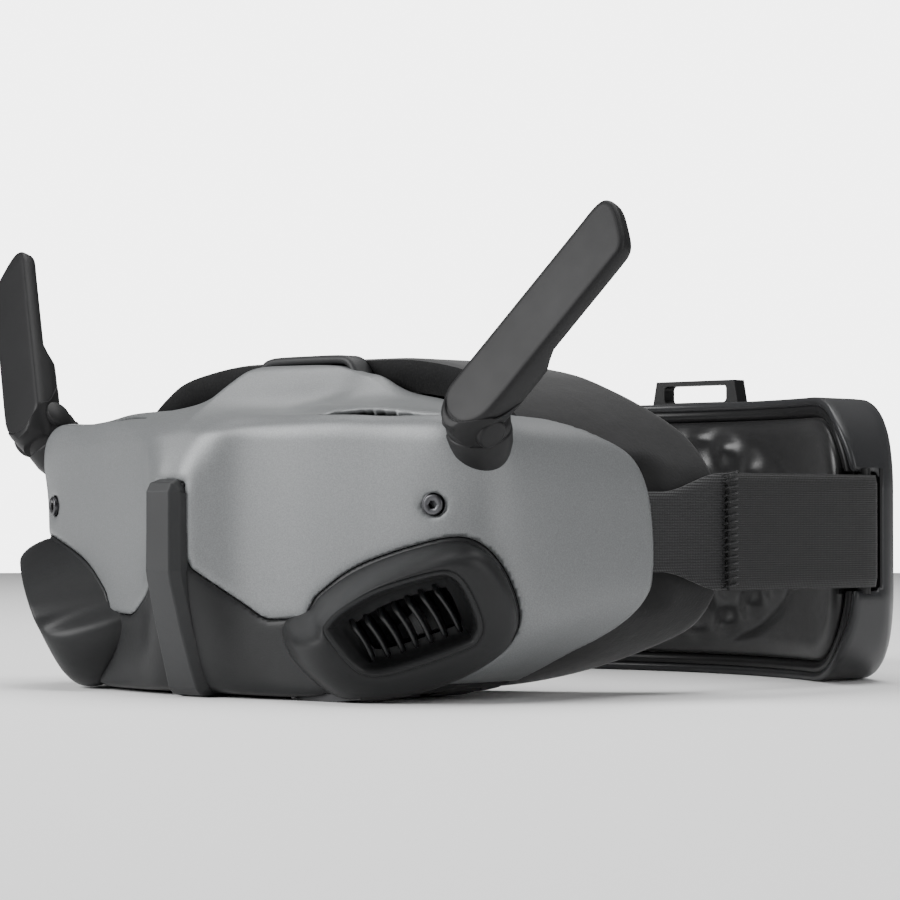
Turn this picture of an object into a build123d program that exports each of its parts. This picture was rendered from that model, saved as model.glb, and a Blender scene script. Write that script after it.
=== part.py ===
from build123d import *
from math import cos, radians, sin
import os

os.makedirs("parts", exist_ok=True)

# First-person-view goggles with a headband that carries the battery.
# Row frame: +X to the wearer's left, +Y from the nose of the goggles to the back of the head, +Z up.
# The origin is under the middle of the whole object, on the surface that it stands on.

# --- driving dimensions (mm) ---
total_length = 196.0
front_y = -total_length / 2
rear_y = total_length / 2

wall = 2.0
gap = 0.3
rear_plate_y = front_y + 50.0

bar_half_width = 3.8
bar_foot_half_width = 5.6

lens_spacing = 64.0
lens_travel = 4.0
lens_z = 36.0
lens_barrel_radius = 19.0
lens_bore_radius = 16.5
rod_radius = 1.5
running_clearance = 0.05

head_radius = 76.0
head_centre_y = front_y + 146.0
shield_wall = 8.0
shield_rear_y = front_y + 105.0

strap_z = 35.8
strap_height = 26.0
strap_thickness = 1.6
hook_height = 14.0
hook_pivot_y = front_y + 64.0

unit_outer_radius = 104.0
unit_inner_radius = 107.0
unit_outer_centre_y = rear_y - unit_outer_radius
unit_inner_centre_y = rear_y - 23.5 - unit_inner_radius
unit_half_width = 77.0
unit_height = 67.7
cushion_thickness = 5.0


def write(piece, name):
    """Label a finished piece and write it as its own STEP file."""
    piece.label = name
    export_step(piece, f"parts/{name}.step")


def shift_y(points, offset):
    """Points of a plan or side outline, moved from the nose's datum to the row frame."""
    return [(x, y + offset) for x, y in points]


# --- outlines of the goggles body, as (across, along) measured from the nose ---
plan_half = shift_y(
    [(0, 2.6), (5, 2.8), (22, 8.0), (34, 12.6), (48, 17.6), (61.7, 22.5), (69, 27.0), (72.6, 34), (75.4, 50),
     (77.8, 76), (0, 76)],
    front_y,
)
front_half = [
    (0, 74.5), (13, 74.3), (19, 71.8), (27, 66.2), (35, 62.6), (45, 61.2), (58, 60.4), (68, 59.4),
    (73.5, 55.5),
    (76.8, 49), (77.8, 42), (77.8, 28), (76, 21), (71, 14), (64, 7.6), (56, 3.2), (46, 0.8), (38, 0), (0, 0),
]  # fmt: skip
side_front = [(9.0, 1.4), (7.6, 6.3), (2.6, 27), (2.6, 46.8), (28.8, 72.3), (44, 74.5)]
side_top_rear = (front_y + 50, 74.5)
side_waist = (front_y + 74.6, 38)
side_bottom_rear = (front_y + 50, 0)
side_bottom_front = (front_y + 14, 0)


def housing(inset=0.0):
    """The goggles body: plan, side and front outlines extruded and intersected, all pulled in by inset."""
    with BuildPart() as form:
        with BuildSketch(Plane.XY.offset(-5)):
            with BuildLine():
                Polyline(plan_half)
                mirror(about=Plane.YZ)
            make_face()
            if inset:
                offset(amount=-inset, kind=Kind.INTERSECTION)
        extrude(amount=90)
        with BuildSketch(Plane.YZ):
            with BuildLine():
                Polyline([side_bottom_front] + [(y + front_y, z) for y, z in side_front] + [side_top_rear])
                ThreePointArc(side_top_rear, side_waist, side_bottom_rear)
                Line(side_bottom_rear, side_bottom_front)
            make_face()
            if inset:
                offset(amount=-inset, kind=Kind.INTERSECTION)
        extrude(amount=90, both=True, mode=Mode.INTERSECT)
        with BuildSketch(Plane.XZ):
            with BuildLine():
                Polyline(front_half)
                mirror(about=Plane.YZ)
            make_face()
            if inset:
                offset(amount=-inset, kind=Kind.INTERSECTION)
        extrude(amount=120, both=True, mode=Mode.INTERSECT)
    return form.part


def open_cavity(inset):
    """Inside of the housing, carried rearwards so that it leaves the body open at the back."""
    inner = housing(inset)
    return inner + Pos(0, 6, 0) * inner


def write_pair(left_piece, name):
    """Write the left piece, and its mirror image about the middle plane as the right one."""
    write(left_piece, f"{name}_left")
    write(left_piece.mirror(Plane.YZ), f"{name}_right")


def both_sides(left_piece):
    """The left piece and its mirror image together."""
    return left_piece + left_piece.mirror(Plane.YZ)


# --- parting lines of the body's skin, seen from the front ---
fascia_top_half = [
    (5.4, 46.9), (5.4, 30), (6.4, 27.6), (21.9, 17.4), (32.1, 17.6), (37.0, 22), (43.0, 27.4),
    (52, 32.5), (59, 35.2),
    (63.5, 34.0), (66.5, 28), (69.0, 20), (68.4, 10), (66, -5),
]  # fmt: skip
with BuildPart() as fascia_region:
    with BuildSketch(Plane.XZ.offset(-(front_y - 4))):
        with BuildLine():
            Polyline([(0, 46.9)] + fascia_top_half + [(0, -5)])
            mirror(about=Plane.YZ)
        make_face()
    extrude(amount=-90)

cover_size = (104.0, 12.0)
cover_y = front_y + 42.0
port_y = front_y + 25.0
port_size = (19.0, 18.0)
port_hinge_x = 27.2
port_hinge_z = 1.0
port_hinge_radius = 1.0
with BuildPart() as bottom_cover_region:
    with BuildSketch(Plane.XY.offset(-4)):
        with Locations((0, cover_y)):
            RectangleRounded(cover_size[0], cover_size[1], 3)
    extrude(amount=12)

with BuildPart() as bottom_cover_cut:
    with BuildSketch(Plane.XY.offset(-4)):
        with Locations((0, cover_y)):
            RectangleRounded(cover_size[0] + 0.4, cover_size[1] + 0.4, 3.2)
    extrude(amount=12)

skin = housing() - open_cavity(wall)

# --- vent pods: a tilted rounded frame that stands on each cheek and faces outward ---
vent_centre = (53.0, front_y + 22.5, 17.0)
vent_normal = (0.70, -0.707, 0.10)
vent_plane = Plane(origin=vent_centre, x_dir=(0.71, 0.70, 0), z_dir=vent_normal)
vent_outer = [(-17.6, 8.6), (-3.0, 14.6), (11.0, 18.6), (18.6, 15.0), (24.0, 1.5), (22.0, -6.5),
    (-3.5, -13.4),
              (-10.5, -11.0), (-19.6, -1.0)]
vent_rim = [(-16.4, -2.6), (-13.2, 2.4), (7.2, 11.4), (11.0, 10.2), (17.2, 1.0), (15.4, -3.0), (-4.0, -11.6),
            (-9.0, -11.0)]
slat_count = 7
slat_pitch = 3.05
slat_length = 12.4
slat_width = 0.8

with BuildPart() as vent_pod:
    with BuildSketch(vent_plane.offset(-5.0)):
        with BuildLine():
            Polyline(vent_outer, close=True)
        make_face()
        fillet(vertices(), 2.0)
    with BuildSketch(vent_plane.offset(1.6)):
        with BuildLine():
            Polyline(vent_rim, close=True)
        make_face()
        fillet(vertices(), 1.6)
        offset(amount=2.2)
    loft()

with BuildPart() as vent_duct:
    with BuildSketch(vent_plane.offset(2)):
        with BuildLine():
            Polyline(vent_rim, close=True)
        make_face()
        fillet(vertices(), 1.6)
    extrude(amount=-12)

with BuildPart() as vent_slots:
    with BuildSketch(vent_plane.offset(-6.0)):
        with BuildLine():
            Polyline(vent_rim, close=True)
        make_face()
        fillet(vertices(), 1.6)
        offset(amount=-0.2)
        with Locations((0.6, -0.4)):
            with Locations(Rotation(0, 0, 26)):
                with GridLocations(slat_pitch, 1, slat_count + 1, 1):
                    SlotOverall(slat_length, slat_pitch - slat_width, rotation=90, mode=Mode.SUBTRACT)
    extrude(amount=1.6)

write_pair(vent_slots.part, "vent_grille")

# --- top exhaust slots and their mesh grilles ---
exhaust_x = 45.5
exhaust_y = front_y + 27.0
exhaust_length = 25.0
exhaust_width = 4.4
exhaust_top = 64.0
with BuildPart() as exhaust_cut:
    with BuildSketch(Plane.XY.offset(exhaust_top - 8)):
        with Locations((exhaust_x, exhaust_y), (-exhaust_x, exhaust_y)):
            SlotOverall(exhaust_length, exhaust_width)
    extrude(amount=12)

with BuildPart() as exhaust_grille:
    with BuildSketch(Plane.XY.offset(56.8)):
        with Locations((exhaust_x, exhaust_y)):
            SlotOverall(exhaust_length + 3, exhaust_width + 2)
            with GridLocations(2.4, 2.2, 9, 2):
                Circle(0.7, mode=Mode.SUBTRACT)
    extrude(amount=1.0)
write(both_sides(exhaust_grille.part), "exhaust_grilles")

# --- antennas: hinge frame of the left one, with width, length and back directions ---
antenna_hinge = Vector(70.7, front_y + 25.8, 60.7)
antenna_width_dir = Vector(0.83, -0.08, -0.55).normalized()
antenna_length_dir = Vector(0.54, 0.34, 0.77)
antenna_front_dir = antenna_width_dir.cross(antenna_length_dir).normalized()
antenna_length_dir = antenna_front_dir.cross(antenna_width_dir)
antenna_fold = 62.0
base_centre = Vector(69.0, front_y + 28.0, 57.0)
base_axis = Vector(0.37, -0.48, 0.79)
base_radius = 6.8
base_top = 0.2
ear_radius = 2.7
ear_inner = 2.95
ear_outer = 5.7
pin_radius = 1.0
blade_length = 51.0
blade_front = 5.7
blade_back = 1.3

base_plane = Plane(origin=base_centre, x_dir=antenna_width_dir, z_dir=base_axis)
blade_plane = Plane(origin=antenna_hinge, x_dir=antenna_width_dir, z_dir=antenna_front_dir)
hinge_plane = Plane(origin=antenna_hinge, x_dir=antenna_length_dir, z_dir=antenna_width_dir)

with BuildPart() as antenna_base:
    with BuildSketch(base_plane.offset(-2.5)):
        Circle(base_radius)
    extrude(amount=2.5 + base_top)
    chamfer(antenna_base.faces().sort_by(Axis(base_centre, base_axis))[-1].edges(), 0.5)
    for side_offset in (ear_inner, -ear_outer):
        with BuildSketch(hinge_plane.offset(side_offset)):
            Circle(ear_radius)
            with BuildLine():
                Polyline((2.05, -1.76), (-0.67, -6.01), (-5.83, -1.59), (-2.05, 1.76), close=True)
            make_face()
        extrude(amount=ear_outer - ear_inner)
    with BuildSketch(base_plane.offset(-8.0)):
        Circle(3.0)
    extrude(amount=6.0)
    with BuildSketch(hinge_plane):
        Circle(pin_radius)
    extrude(amount=10, both=True, mode=Mode.SUBTRACT)
    with BuildSketch(hinge_plane):
        Circle(ear_radius + 0.5)
    extrude(amount=ear_inner, both=True, mode=Mode.SUBTRACT)

with BuildPart() as antenna_pin:
    with BuildSketch(hinge_plane):
        Circle(pin_radius)
    extrude(amount=ear_outer + 0.2, both=True)

blade_side = [(0.8, blade_front), (blade_length, blade_front), (blade_length - 0.3, blade_back),
    (19.5, blade_back),
              (16.4, -0.4), (14.9, -1.4), (9.5, -1.5)]  # fmt: skip
blade_face = [(-6.0, -1.0), (-3.5, -2.6), (4.8, -2.6), (7.4, 2.0), (7.4, 46.6), (-1.0, blade_length),
              (-5.6, blade_length), (-6.0, 47.5)]  # fmt: skip
neck_side = [(-2.0, 3.6), (-2.0, blade_front - 0.1), (0.6, blade_front - 0.1), (9.0, -1.3), (7.4, -1.6),
             (4.5, -1.0), (2.2, 3.6)]  # fmt: skip

with BuildPart() as antenna_blade:
    with BuildSketch(hinge_plane.offset(-7)):
        with BuildLine():
            Polyline(blade_side, close=True)
        make_face()
    extrude(amount=16)
    with BuildSketch(blade_plane.offset(-3)):
        with BuildLine():
            Polyline(blade_face, close=True)
        make_face()
    extrude(amount=10, mode=Mode.INTERSECT)
    with BuildSketch(blade_plane.offset(blade_back + 1.2)):
        with Locations((0.7, 32)):
            Rectangle(9.4, 30)
    extrude(amount=2.0, mode=Mode.SUBTRACT)

with BuildPart() as antenna_board:
    with BuildSketch(blade_plane.offset(blade_back + 1.6)):
        with Locations((0.7, 32)):
            Rectangle(9.0, 29.4)
    extrude(amount=1.0)

with BuildPart() as antenna_neck:
    with BuildSketch(hinge_plane.offset(-5.2)):
        with BuildLine():
            Polyline(neck_side, close=True)
        make_face()
    extrude(amount=12)
    with BuildSketch(hinge_plane):
        Circle(ear_radius)
        with BuildLine():
            Polyline((-1.0, 2.3), (-1.0, 4.0), (4.0, 2.4), (6.0, -1.0), (2.0, -1.8), close=True)
        make_face()
    extrude(amount=ear_inner - 0.2, both=True)
    with BuildSketch(hinge_plane):
        Circle(pin_radius + running_clearance)
    extrude(amount=10, both=True, mode=Mode.SUBTRACT)

with BuildPart() as antenna_sweep:
    with BuildSketch(hinge_plane.offset(-8.5)):
        with Locations(Rotation(0, 0, -antenna_fold)):
            with Locations((32, 3.0)):
                Rectangle(50, 10.6)
    extrude(amount=19)

with BuildPart() as antenna_boss:
    with BuildSketch(base_plane.offset(-6.5)):
        Circle(base_radius + 1.8)
    extrude(amount=6.2)

with BuildPart() as antenna_seat:
    with BuildSketch(base_plane.offset(-2.7)):
        Circle(base_radius + 0.15)
    extrude(amount=12)
    with BuildSketch(base_plane.offset(-12)):
        Circle(3.2)
    extrude(amount=12)

write_pair(antenna_base.part, "antenna_base")
write(both_sides(antenna_pin.part), "antenna_pins")
write_pair(antenna_blade.part, "antenna_blade")
write_pair(antenna_board.part, "antenna_board")
write_pair(antenna_neck.part, "antenna_neck")

# --- screws that hold the shell to the chassis arms ---
screw_x = 61.7
screw_z = 41.6
screw_face_y = front_y + 20.6
with BuildPart() as shell_screw:
    with BuildSketch(Plane.XZ.offset(-screw_face_y)):
        with Locations((screw_x, screw_z)):
            Circle(2.15)
            RegularPolygon(1.0, 6, mode=Mode.SUBTRACT)
    extrude(amount=-1.2)
    with BuildSketch(Plane.XZ.offset(-(screw_face_y + 1.2))):
        with Locations((screw_x, screw_z)):
            Circle(2.15)
    extrude(amount=-1.4)
    with BuildSketch(Plane.XZ.offset(-(screw_face_y + 2.6))):
        with Locations((screw_x, screw_z)):
            Circle(1.2)
    extrude(amount=-9.0)
write(both_sides(shell_screw.part), "shell_screws")

with BuildPart() as screw_hole:
    with BuildSketch(Plane.XZ.offset(-(screw_face_y - 4))):
        with Locations((screw_x, screw_z), (-screw_x, screw_z)):
            Circle(2.3)
    extrude(amount=-9)

# --- controls on the wearer's right cheek: a five-way stick and a back button ---
panel_normal = Vector(-0.985, -0.172, 0).normalized()
panel_along = Vector(-0.172, 0.985, 0).normalized()
nav_point = Vector(-73.65, front_y + 40.0, 41.0)
back_point = Vector(-73.65, front_y + 40.0, 26.0)
nav_depth = 4.6
nav_plane = Plane(origin=nav_point, x_dir=panel_along, z_dir=panel_normal)
back_plane = Plane(origin=back_point, x_dir=panel_along, z_dir=panel_normal)
nav_across_plane = Plane(origin=nav_plane.from_local_coords((0, 0, -nav_depth)), z_dir=panel_along)
nav_up_plane = Plane(origin=nav_plane.from_local_coords((0, 0, -nav_depth)), z_dir=(0, 0, 1))
trunnion_radius = 0.5

with BuildPart() as nav_cap:
    with BuildSketch(nav_plane.offset(-1.5)):
        Circle(4.3)
    extrude(amount=2.7)
    fillet(nav_cap.faces().sort_by(Axis(nav_point, panel_normal))[-1].edges(), 0.8)
    with BuildSketch(nav_plane.offset(-5.1)):
        Circle(1.2)
    extrude(amount=3.8)

with BuildPart() as nav_stick:
    with BuildSketch(nav_plane.offset(-6.4)):
        Circle(2.2)
    extrude(amount=3.8)
    with BuildSketch(nav_plane.offset(-5.8)):
        Circle(1.2 + running_clearance)
    extrude(amount=6, mode=Mode.SUBTRACT)
    for direction in (1, -1):
        with BuildSketch(nav_up_plane.offset(direction * 2.1)):
            Circle(trunnion_radius)
        extrude(amount=direction * 2.0)

with BuildPart() as nav_rocker:
    with BuildSketch(nav_plane.offset(-nav_depth - 0.9)):
        Circle(4.9)
        Circle(3.3, mode=Mode.SUBTRACT)
    extrude(amount=1.8)
    with BuildSketch(nav_up_plane):
        Circle(trunnion_radius + running_clearance)
    extrude(amount=8, both=True, mode=Mode.SUBTRACT)
    for direction in (1, -1):
        with BuildSketch(nav_across_plane.offset(direction * 4.7)):
            Circle(trunnion_radius)
        extrude(amount=direction * 1.6)

with BuildPart() as control_board:
    with BuildSketch(nav_plane.offset(-8.6)):
        with Locations((1.0, 6.5)):
            Rectangle(13, 28)
    extrude(amount=1.0)
    with BuildSketch(nav_plane.offset(-7.6)):
        Rectangle(13, 13)
        Rectangle(10.8, 10.8, mode=Mode.SUBTRACT)
    extrude(amount=4.6)
    with BuildSketch(nav_across_plane):
        Circle(trunnion_radius + running_clearance)
    extrude(amount=9, both=True, mode=Mode.SUBTRACT)
    with BuildSketch(back_plane.offset(-7.6)):
        Rectangle(6, 6)
    extrude(amount=2.8)

with BuildPart() as back_button:
    with BuildSketch(back_plane.offset(-3.9)):
        Circle(4.2)
    extrude(amount=1.0)
    with BuildSketch(back_plane.offset(-3.2)):
        Circle(3.2)
    extrude(amount=3.7)
    fillet(back_button.faces().sort_by(Axis(back_point, panel_normal))[-1].edges(), 0.5)

with BuildPart() as button_holes:
    with BuildSketch(nav_plane.offset(-3)):
        Circle(5.5)
    extrude(amount=6)
    with BuildSketch(back_plane.offset(-2.9)):
        Circle(3.5)
    extrude(amount=6)

link_x = -34.0
link_y = front_y + 25.0
with BuildPart() as link_button:
    with BuildSketch(Plane.XY.offset(0.3)):
        with Locations((link_x, link_y)):
            Circle(2.2)
    extrude(amount=2.4)
    with BuildSketch(Plane.XY.offset(2.3)):
        with Locations((link_x, link_y)):
            Circle(3.2)
    extrude(amount=1.0)

with BuildPart() as link_hole:
    with BuildSketch(Plane.XY.offset(-2)):
        with Locations((link_x, link_y)):
            Circle(2.5)
    extrude(amount=4.2)

write(nav_cap.part, "nav_cap")
write(nav_stick.part, "nav_stick")
write(nav_rocker.part, "nav_rocker")
write(control_board.part, "control_board")
write(back_button.part, "back_button")
write(link_button.part, "link_button")

# --- port cover under the left cheek, with its hinge along Y at the inner edge ---
port_outer_x = port_hinge_x + port_size[0]
with BuildPart() as port_window:
    with BuildSketch(Plane.XY.offset(-3)):
        with Locations(((port_hinge_x - port_hinge_radius + port_outer_x) / 2, port_y)):
            Rectangle(port_size[0] + port_hinge_radius + 0.7, port_size[1] + 0.7)
    extrude(amount=7.0)
    with BuildSketch(Plane.XZ.offset(-port_y)):
        with Locations((port_hinge_x, port_hinge_z)):
            Circle(0.65)
    extrude(amount=port_size[1] / 2 + 1.8, both=True)

with BuildPart() as port_cover:
    with BuildSketch(Plane.XZ.offset(-port_y)):
        with BuildLine():
            Polyline((port_hinge_x, 0), (38, 0), (port_outer_x, 0.85), (port_outer_x, 2.7), (38, 2),
                     (port_hinge_x, 2),
                     close=True)
        make_face()
        with Locations((port_hinge_x, port_hinge_z)):
            Circle(port_hinge_radius)
    extrude(amount=port_size[1] / 2, both=True)
    with BuildSketch(Plane.XZ.offset(-port_y)):
        with Locations((port_hinge_x, port_hinge_z)):
            Circle(0.6)
    extrude(amount=port_size[1] / 2 + 1.4, both=True)
write(port_cover.part, "port_cover")

usb_x = port_hinge_x + 5.0
card_x = port_hinge_x + 10.8
with BuildPart() as usb_c_port:
    with BuildSketch(Plane.XY.offset(3.2)):
        with Locations((usb_x, port_y)):
            SlotOverall(9.0, 3.3, rotation=90)
            SlotOverall(8.4, 2.7, rotation=90, mode=Mode.SUBTRACT)
    extrude(amount=6.6)
    with BuildSketch(Plane.XY.offset(9.0)):
        with Locations((usb_x, port_y)):
            Rectangle(5, 10)
    extrude(amount=0.8)
    with BuildSketch(Plane.XY.offset(4.6)):
        with Locations((usb_x, port_y)):
            Rectangle(0.8, 6.8)
    extrude(amount=4.6)

with BuildPart() as card_slot:
    with BuildSketch(Plane.XY.offset(3.4)):
        with Locations((card_x, port_y)):
            Rectangle(4.0, 13.5)
            Rectangle(1.4, 11.2, mode=Mode.SUBTRACT)
    extrude(amount=5.6)
    with BuildSketch(Plane.XY.offset(9.0)):
        with Locations((card_x, port_y)):
            Rectangle(4.0, 13.5)
    extrude(amount=0.8)

with BuildPart() as port_board:
    with BuildSketch(Plane.XY.offset(9.8)):
        with Locations(((usb_x + card_x) / 2, port_y)):
            Rectangle(11.5, 14)
    extrude(amount=1.2)
write(usb_c_port.part, "usb_c_port")
write(card_slot.part, "card_slot")
write(port_board.part, "port_board")

# --- IPD knobs reach down through slots in the bottom cover ---
knob_y = front_y + 42.4
knob_size = (7.0, 3.6)
with BuildPart() as knob_slots:
    with BuildSketch(Plane.XY.offset(-3)):
        with Locations((lens_spacing / 2, knob_y), (-lens_spacing / 2, knob_y)):
            Rectangle(knob_size[0] + 2 * lens_travel + 0.8, knob_size[1] + 0.8)
    extrude(amount=9)

cover_screws = [(16.0, front_y + 38.8), (-16.0, front_y + 38.8), (16.0, front_y + 45.4),
    (-16.0, front_y + 45.4)]
with BuildPart() as cover_screw_set:
    with BuildSketch(Plane.XY.offset(0.2)):
        with Locations(*cover_screws):
            Circle(1.8)
            RegularPolygon(0.8, 6, mode=Mode.SUBTRACT)
    extrude(amount=0.8)
    with BuildSketch(Plane.XY.offset(1.0)):
        with Locations(*cover_screws):
            Circle(1.8)
    extrude(amount=0.4)
    with BuildSketch(Plane.XY.offset(1.4)):
        with Locations(*cover_screws):
            Circle(0.95)
    extrude(amount=4.4)
with BuildPart() as cover_screw_holes:
    with BuildSketch(Plane.XY.offset(-1)):
        with Locations(*cover_screws):
            Circle(1.95)
    extrude(amount=2.4)
    with BuildSketch(Plane.XY.offset(1.4)):
        with Locations(*cover_screws):
            Circle(1.05)
    extrude(amount=5)
write(cover_screw_set.part, "bottom_screws")

# --- strap loop on the ridge, over a shallow well in the shell ---
loop_half = 14.0
loop_y = front_y + 46.6
with BuildPart() as loop_well:
    with BuildSketch(Plane.XY.offset(71.4)):
        with Locations((0, loop_y + 0.6)):
            Rectangle(2 * loop_half - 3, 8.4)
    extrude(amount=6)
with BuildPart() as loop_floor:
    with BuildSketch(Plane.XY.offset(69.6)):
        with Locations((0, loop_y - 1.0)):
            Rectangle(2 * loop_half + 1, 8.4)
    extrude(amount=3.4)
with BuildPart() as front_loop:
    with BuildSketch(Plane.XZ.offset(-(loop_y - 2.4))):
        with BuildLine():
            Polyline((-loop_half, 74.7), (-loop_half - 1.4, 76.0), (loop_half + 1.4, 76.0), (loop_half, 74.7),
                     (loop_half - 1.7, 74.7), (loop_half - 1.7, 71.6), (loop_half - 3.0, 71.6),
                     (loop_half - 3.0, 74.4), (-loop_half + 3.0, 74.4), (-loop_half + 3.0, 71.6),
                     (-loop_half + 1.7, 71.6), (-loop_half + 1.7, 74.7), close=True)
        make_face()
    extrude(amount=-5.0)
write(front_loop.part, "front_loop")

# --- skins of the goggles body ---
shell_boss = both_sides(antenna_boss.part) + loop_floor.part
shell_cuts = (
    both_sides(antenna_sweep.part) + both_sides(antenna_seat.part) + exhaust_cut.part + screw_hole.part
)
with BuildPart() as front_shell:
    add(skin + shell_boss)
    add(fascia_region.part + both_sides(vent_pod.part) + bottom_cover_cut.part, mode=Mode.SUBTRACT)
    add(shell_cuts + button_holes.part + loop_well.part, mode=Mode.SUBTRACT)
write(front_shell.part, "front_shell")

with BuildPart() as centre_bar:
    with BuildSketch(Plane.YZ):
        with BuildLine():
            Polyline((front_y, 27), (front_y, 44.6), (front_y + 2.5, 46.8), (front_y + 6.5, 46.8),
                     (front_y + 6.5, 27),
                     (front_y + 12, 1.5), (front_y + 9.7, 0.6), (front_y + 7.6, 1.5),
                     (front_y + 5.9, 6.3), close=True)
        make_face()
    extrude(amount=bar_foot_half_width, both=True)
    with BuildSketch(Plane.XZ):
        with BuildLine():
            Polyline((0, 47), (bar_half_width, 47), (bar_half_width, 27), (bar_foot_half_width, 5),
                     (bar_foot_half_width, 0), (0, 0))
            mirror(about=Plane.YZ)
        make_face()
    extrude(amount=120, both=True, mode=Mode.INTERSECT)

with BuildPart() as lower_fascia:
    add(skin)
    add(fascia_region.part, mode=Mode.INTERSECT)
    add(both_sides(vent_pod.part) + centre_bar.part)
    add(open_cavity(wall + 4.5), mode=Mode.SUBTRACT)
    add(
        both_sides(vent_duct.part) + bottom_cover_cut.part + port_window.part + link_hole.part,
        mode=Mode.SUBTRACT,
    )
write(lower_fascia.part, "lower_fascia")

with BuildPart() as bottom_cover:
    add(skin)
    add(bottom_cover_region.part, mode=Mode.INTERSECT)
    add(knob_slots.part + cover_screw_holes.part, mode=Mode.SUBTRACT)
write(bottom_cover.part, "bottom_cover")

# --- chassis: a plate across the body with holes for the lens barrels ---
plate_thickness = 3.0
rod_z = 57.0
rod_low_z = 15.0
rod_y = front_y + 47.6
rod_half_length = 46.0
arm_x = 69.3
with BuildPart() as chassis_block:
    with BuildSketch(Plane.XZ.offset(-(rear_plate_y + gap))):
        Rectangle(300, 200)
    extrude(amount=-plate_thickness)
with BuildPart() as chassis:
    add(housing(wall + gap))
    add(chassis_block.part, mode=Mode.INTERSECT)
    with BuildSketch(Plane.XZ.offset(-(rear_plate_y - 5))):
        with Locations((lens_spacing / 2, lens_z), (-lens_spacing / 2, lens_z)):
            SlotOverall(2 * (lens_barrel_radius + lens_travel) + 1.0, 2 * lens_barrel_radius + 1.0)
    extrude(amount=-20, mode=Mode.SUBTRACT)
    for lug_x in (-rod_half_length, 0, rod_half_length):
        for lug_z in (rod_z, rod_low_z):
            with BuildSketch(Plane.XZ.offset(-(rear_plate_y + gap))):
                with Locations((lug_x * 0.98, lug_z)):
                    Rectangle(3.6, 3.6)
            extrude(amount=6.0)
    with BuildSketch(Plane.YZ):
        with Locations((rod_y, rod_z), (rod_y, rod_low_z)):
            Circle(rod_radius)
    extrude(amount=rod_half_length, both=True, mode=Mode.SUBTRACT)
    for direction in (1, -1):
        with BuildSketch(Plane.XZ.offset(-(rear_plate_y + gap))):
            with Locations((direction * screw_x, screw_z)):
                Rectangle(4.4, 7)
        extrude(amount=20)
        with BuildSketch(Plane.YZ.offset(direction * (arm_x - 0.9))):
            with Locations(((rear_plate_y + hook_pivot_y) / 2 + 2, strap_z)):
                Rectangle(hook_pivot_y - rear_plate_y + 4, 13)
        extrude(amount=direction * 1.8)
        for foot_y in (front_y + 38.8, front_y + 45.4):
            with BuildSketch(Plane.XY.offset(2.3)):
                with Locations((direction * 16, foot_y)):
                    Circle(2.6)
            extrude(amount=4.6)
        with BuildSketch(Plane.XY.offset(6.0)):
            with Locations((direction * 16, front_y + 44)):
                Rectangle(6, 14)
        extrude(amount=2.5)
    with BuildSketch(Plane.XZ.offset(-(front_y + 20))):
        with Locations((screw_x, screw_z), (-screw_x, screw_z)):
            Circle(1.2)
    extrude(amount=-12.2, mode=Mode.SUBTRACT)
    with BuildSketch(Plane.XY):
        with Locations(*cover_screws):
            Circle(0.95)
    extrude(amount=5.8, mode=Mode.SUBTRACT)
    with BuildSketch(Plane.YZ):
        with Locations((hook_pivot_y, strap_z)):
            Circle(2.5)
    extrude(amount=90, both=True, mode=Mode.SUBTRACT)
write(chassis.part, "chassis")

with BuildPart() as guide_rods:
    with BuildSketch(Plane.YZ):
        with Locations((rod_y, rod_z), (rod_y, rod_low_z)):
            Circle(rod_radius)
    extrude(amount=rod_half_length, both=True)
write(guide_rods.part, "guide_rods")

# --- lens modules: barrel with guide lugs, eyepiece lens, display and knob ---
barrel_front_y = front_y + 41.0
barrel_rear_y = front_y + 66.0
lens_x = lens_spacing / 2
lug_offset = rod_z - lens_z
with BuildPart() as lens_barrel:
    with BuildSketch(Plane.XZ.offset(-barrel_front_y)):
        with Locations((lens_x, lens_z)):
            Circle(lens_barrel_radius)
    extrude(amount=-(barrel_rear_y - barrel_front_y))
    with BuildSketch(Plane.XZ.offset(-(barrel_front_y + 4.0))):
        with Locations((lens_x, lens_z)):
            Circle(lens_bore_radius)
    extrude(amount=-30, mode=Mode.SUBTRACT)
    with BuildSketch(Plane.XZ.offset(-barrel_front_y)):
        with Locations((lens_x, lens_z)):
            Rectangle(14.4, 14.4)
    extrude(amount=-10, mode=Mode.SUBTRACT)
    for lug_sign in (1, -1):
        with BuildSketch(Plane.XZ.offset(-(rod_y - 2.4))):
            with Locations((lens_x, lens_z + lug_sign * (lug_offset - 2.2))):
                Rectangle(12, 8.0)
        extrude(amount=-4.4)
    with BuildSketch(Plane.XZ.offset(-(barrel_front_y + 4.0))):
        with Locations((lens_x, lens_z)):
            Circle(lens_bore_radius)
    extrude(amount=-30, mode=Mode.SUBTRACT)
    with BuildSketch(Plane.YZ):
        with Locations((rod_y, rod_z), (rod_y, rod_low_z)):
            Circle(rod_radius + running_clearance)
    extrude(amount=80, mode=Mode.SUBTRACT)

lens_front_curve = 60.0
lens_back_curve = 40.0
with BuildPart() as eyepiece_lens:
    with BuildSketch(Plane.XZ.offset(-(barrel_rear_y - 10))):
        with Locations((lens_x, lens_z)):
            Circle(lens_bore_radius)
    extrude(amount=-10)
    with Locations((lens_x, barrel_rear_y - 8.6 + lens_front_curve, lens_z)):
        Sphere(lens_front_curve, mode=Mode.INTERSECT)
    with Locations((lens_x, barrel_rear_y - 1.4 - lens_back_curve, lens_z)):
        Sphere(lens_back_curve, mode=Mode.INTERSECT)

with BuildPart() as display_panel:
    with BuildSketch(Plane.XZ.offset(-(barrel_front_y + 0.6))):
        with Locations((lens_x, lens_z)):
            Rectangle(14.2, 14.2)
    extrude(amount=-2.4)

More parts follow.
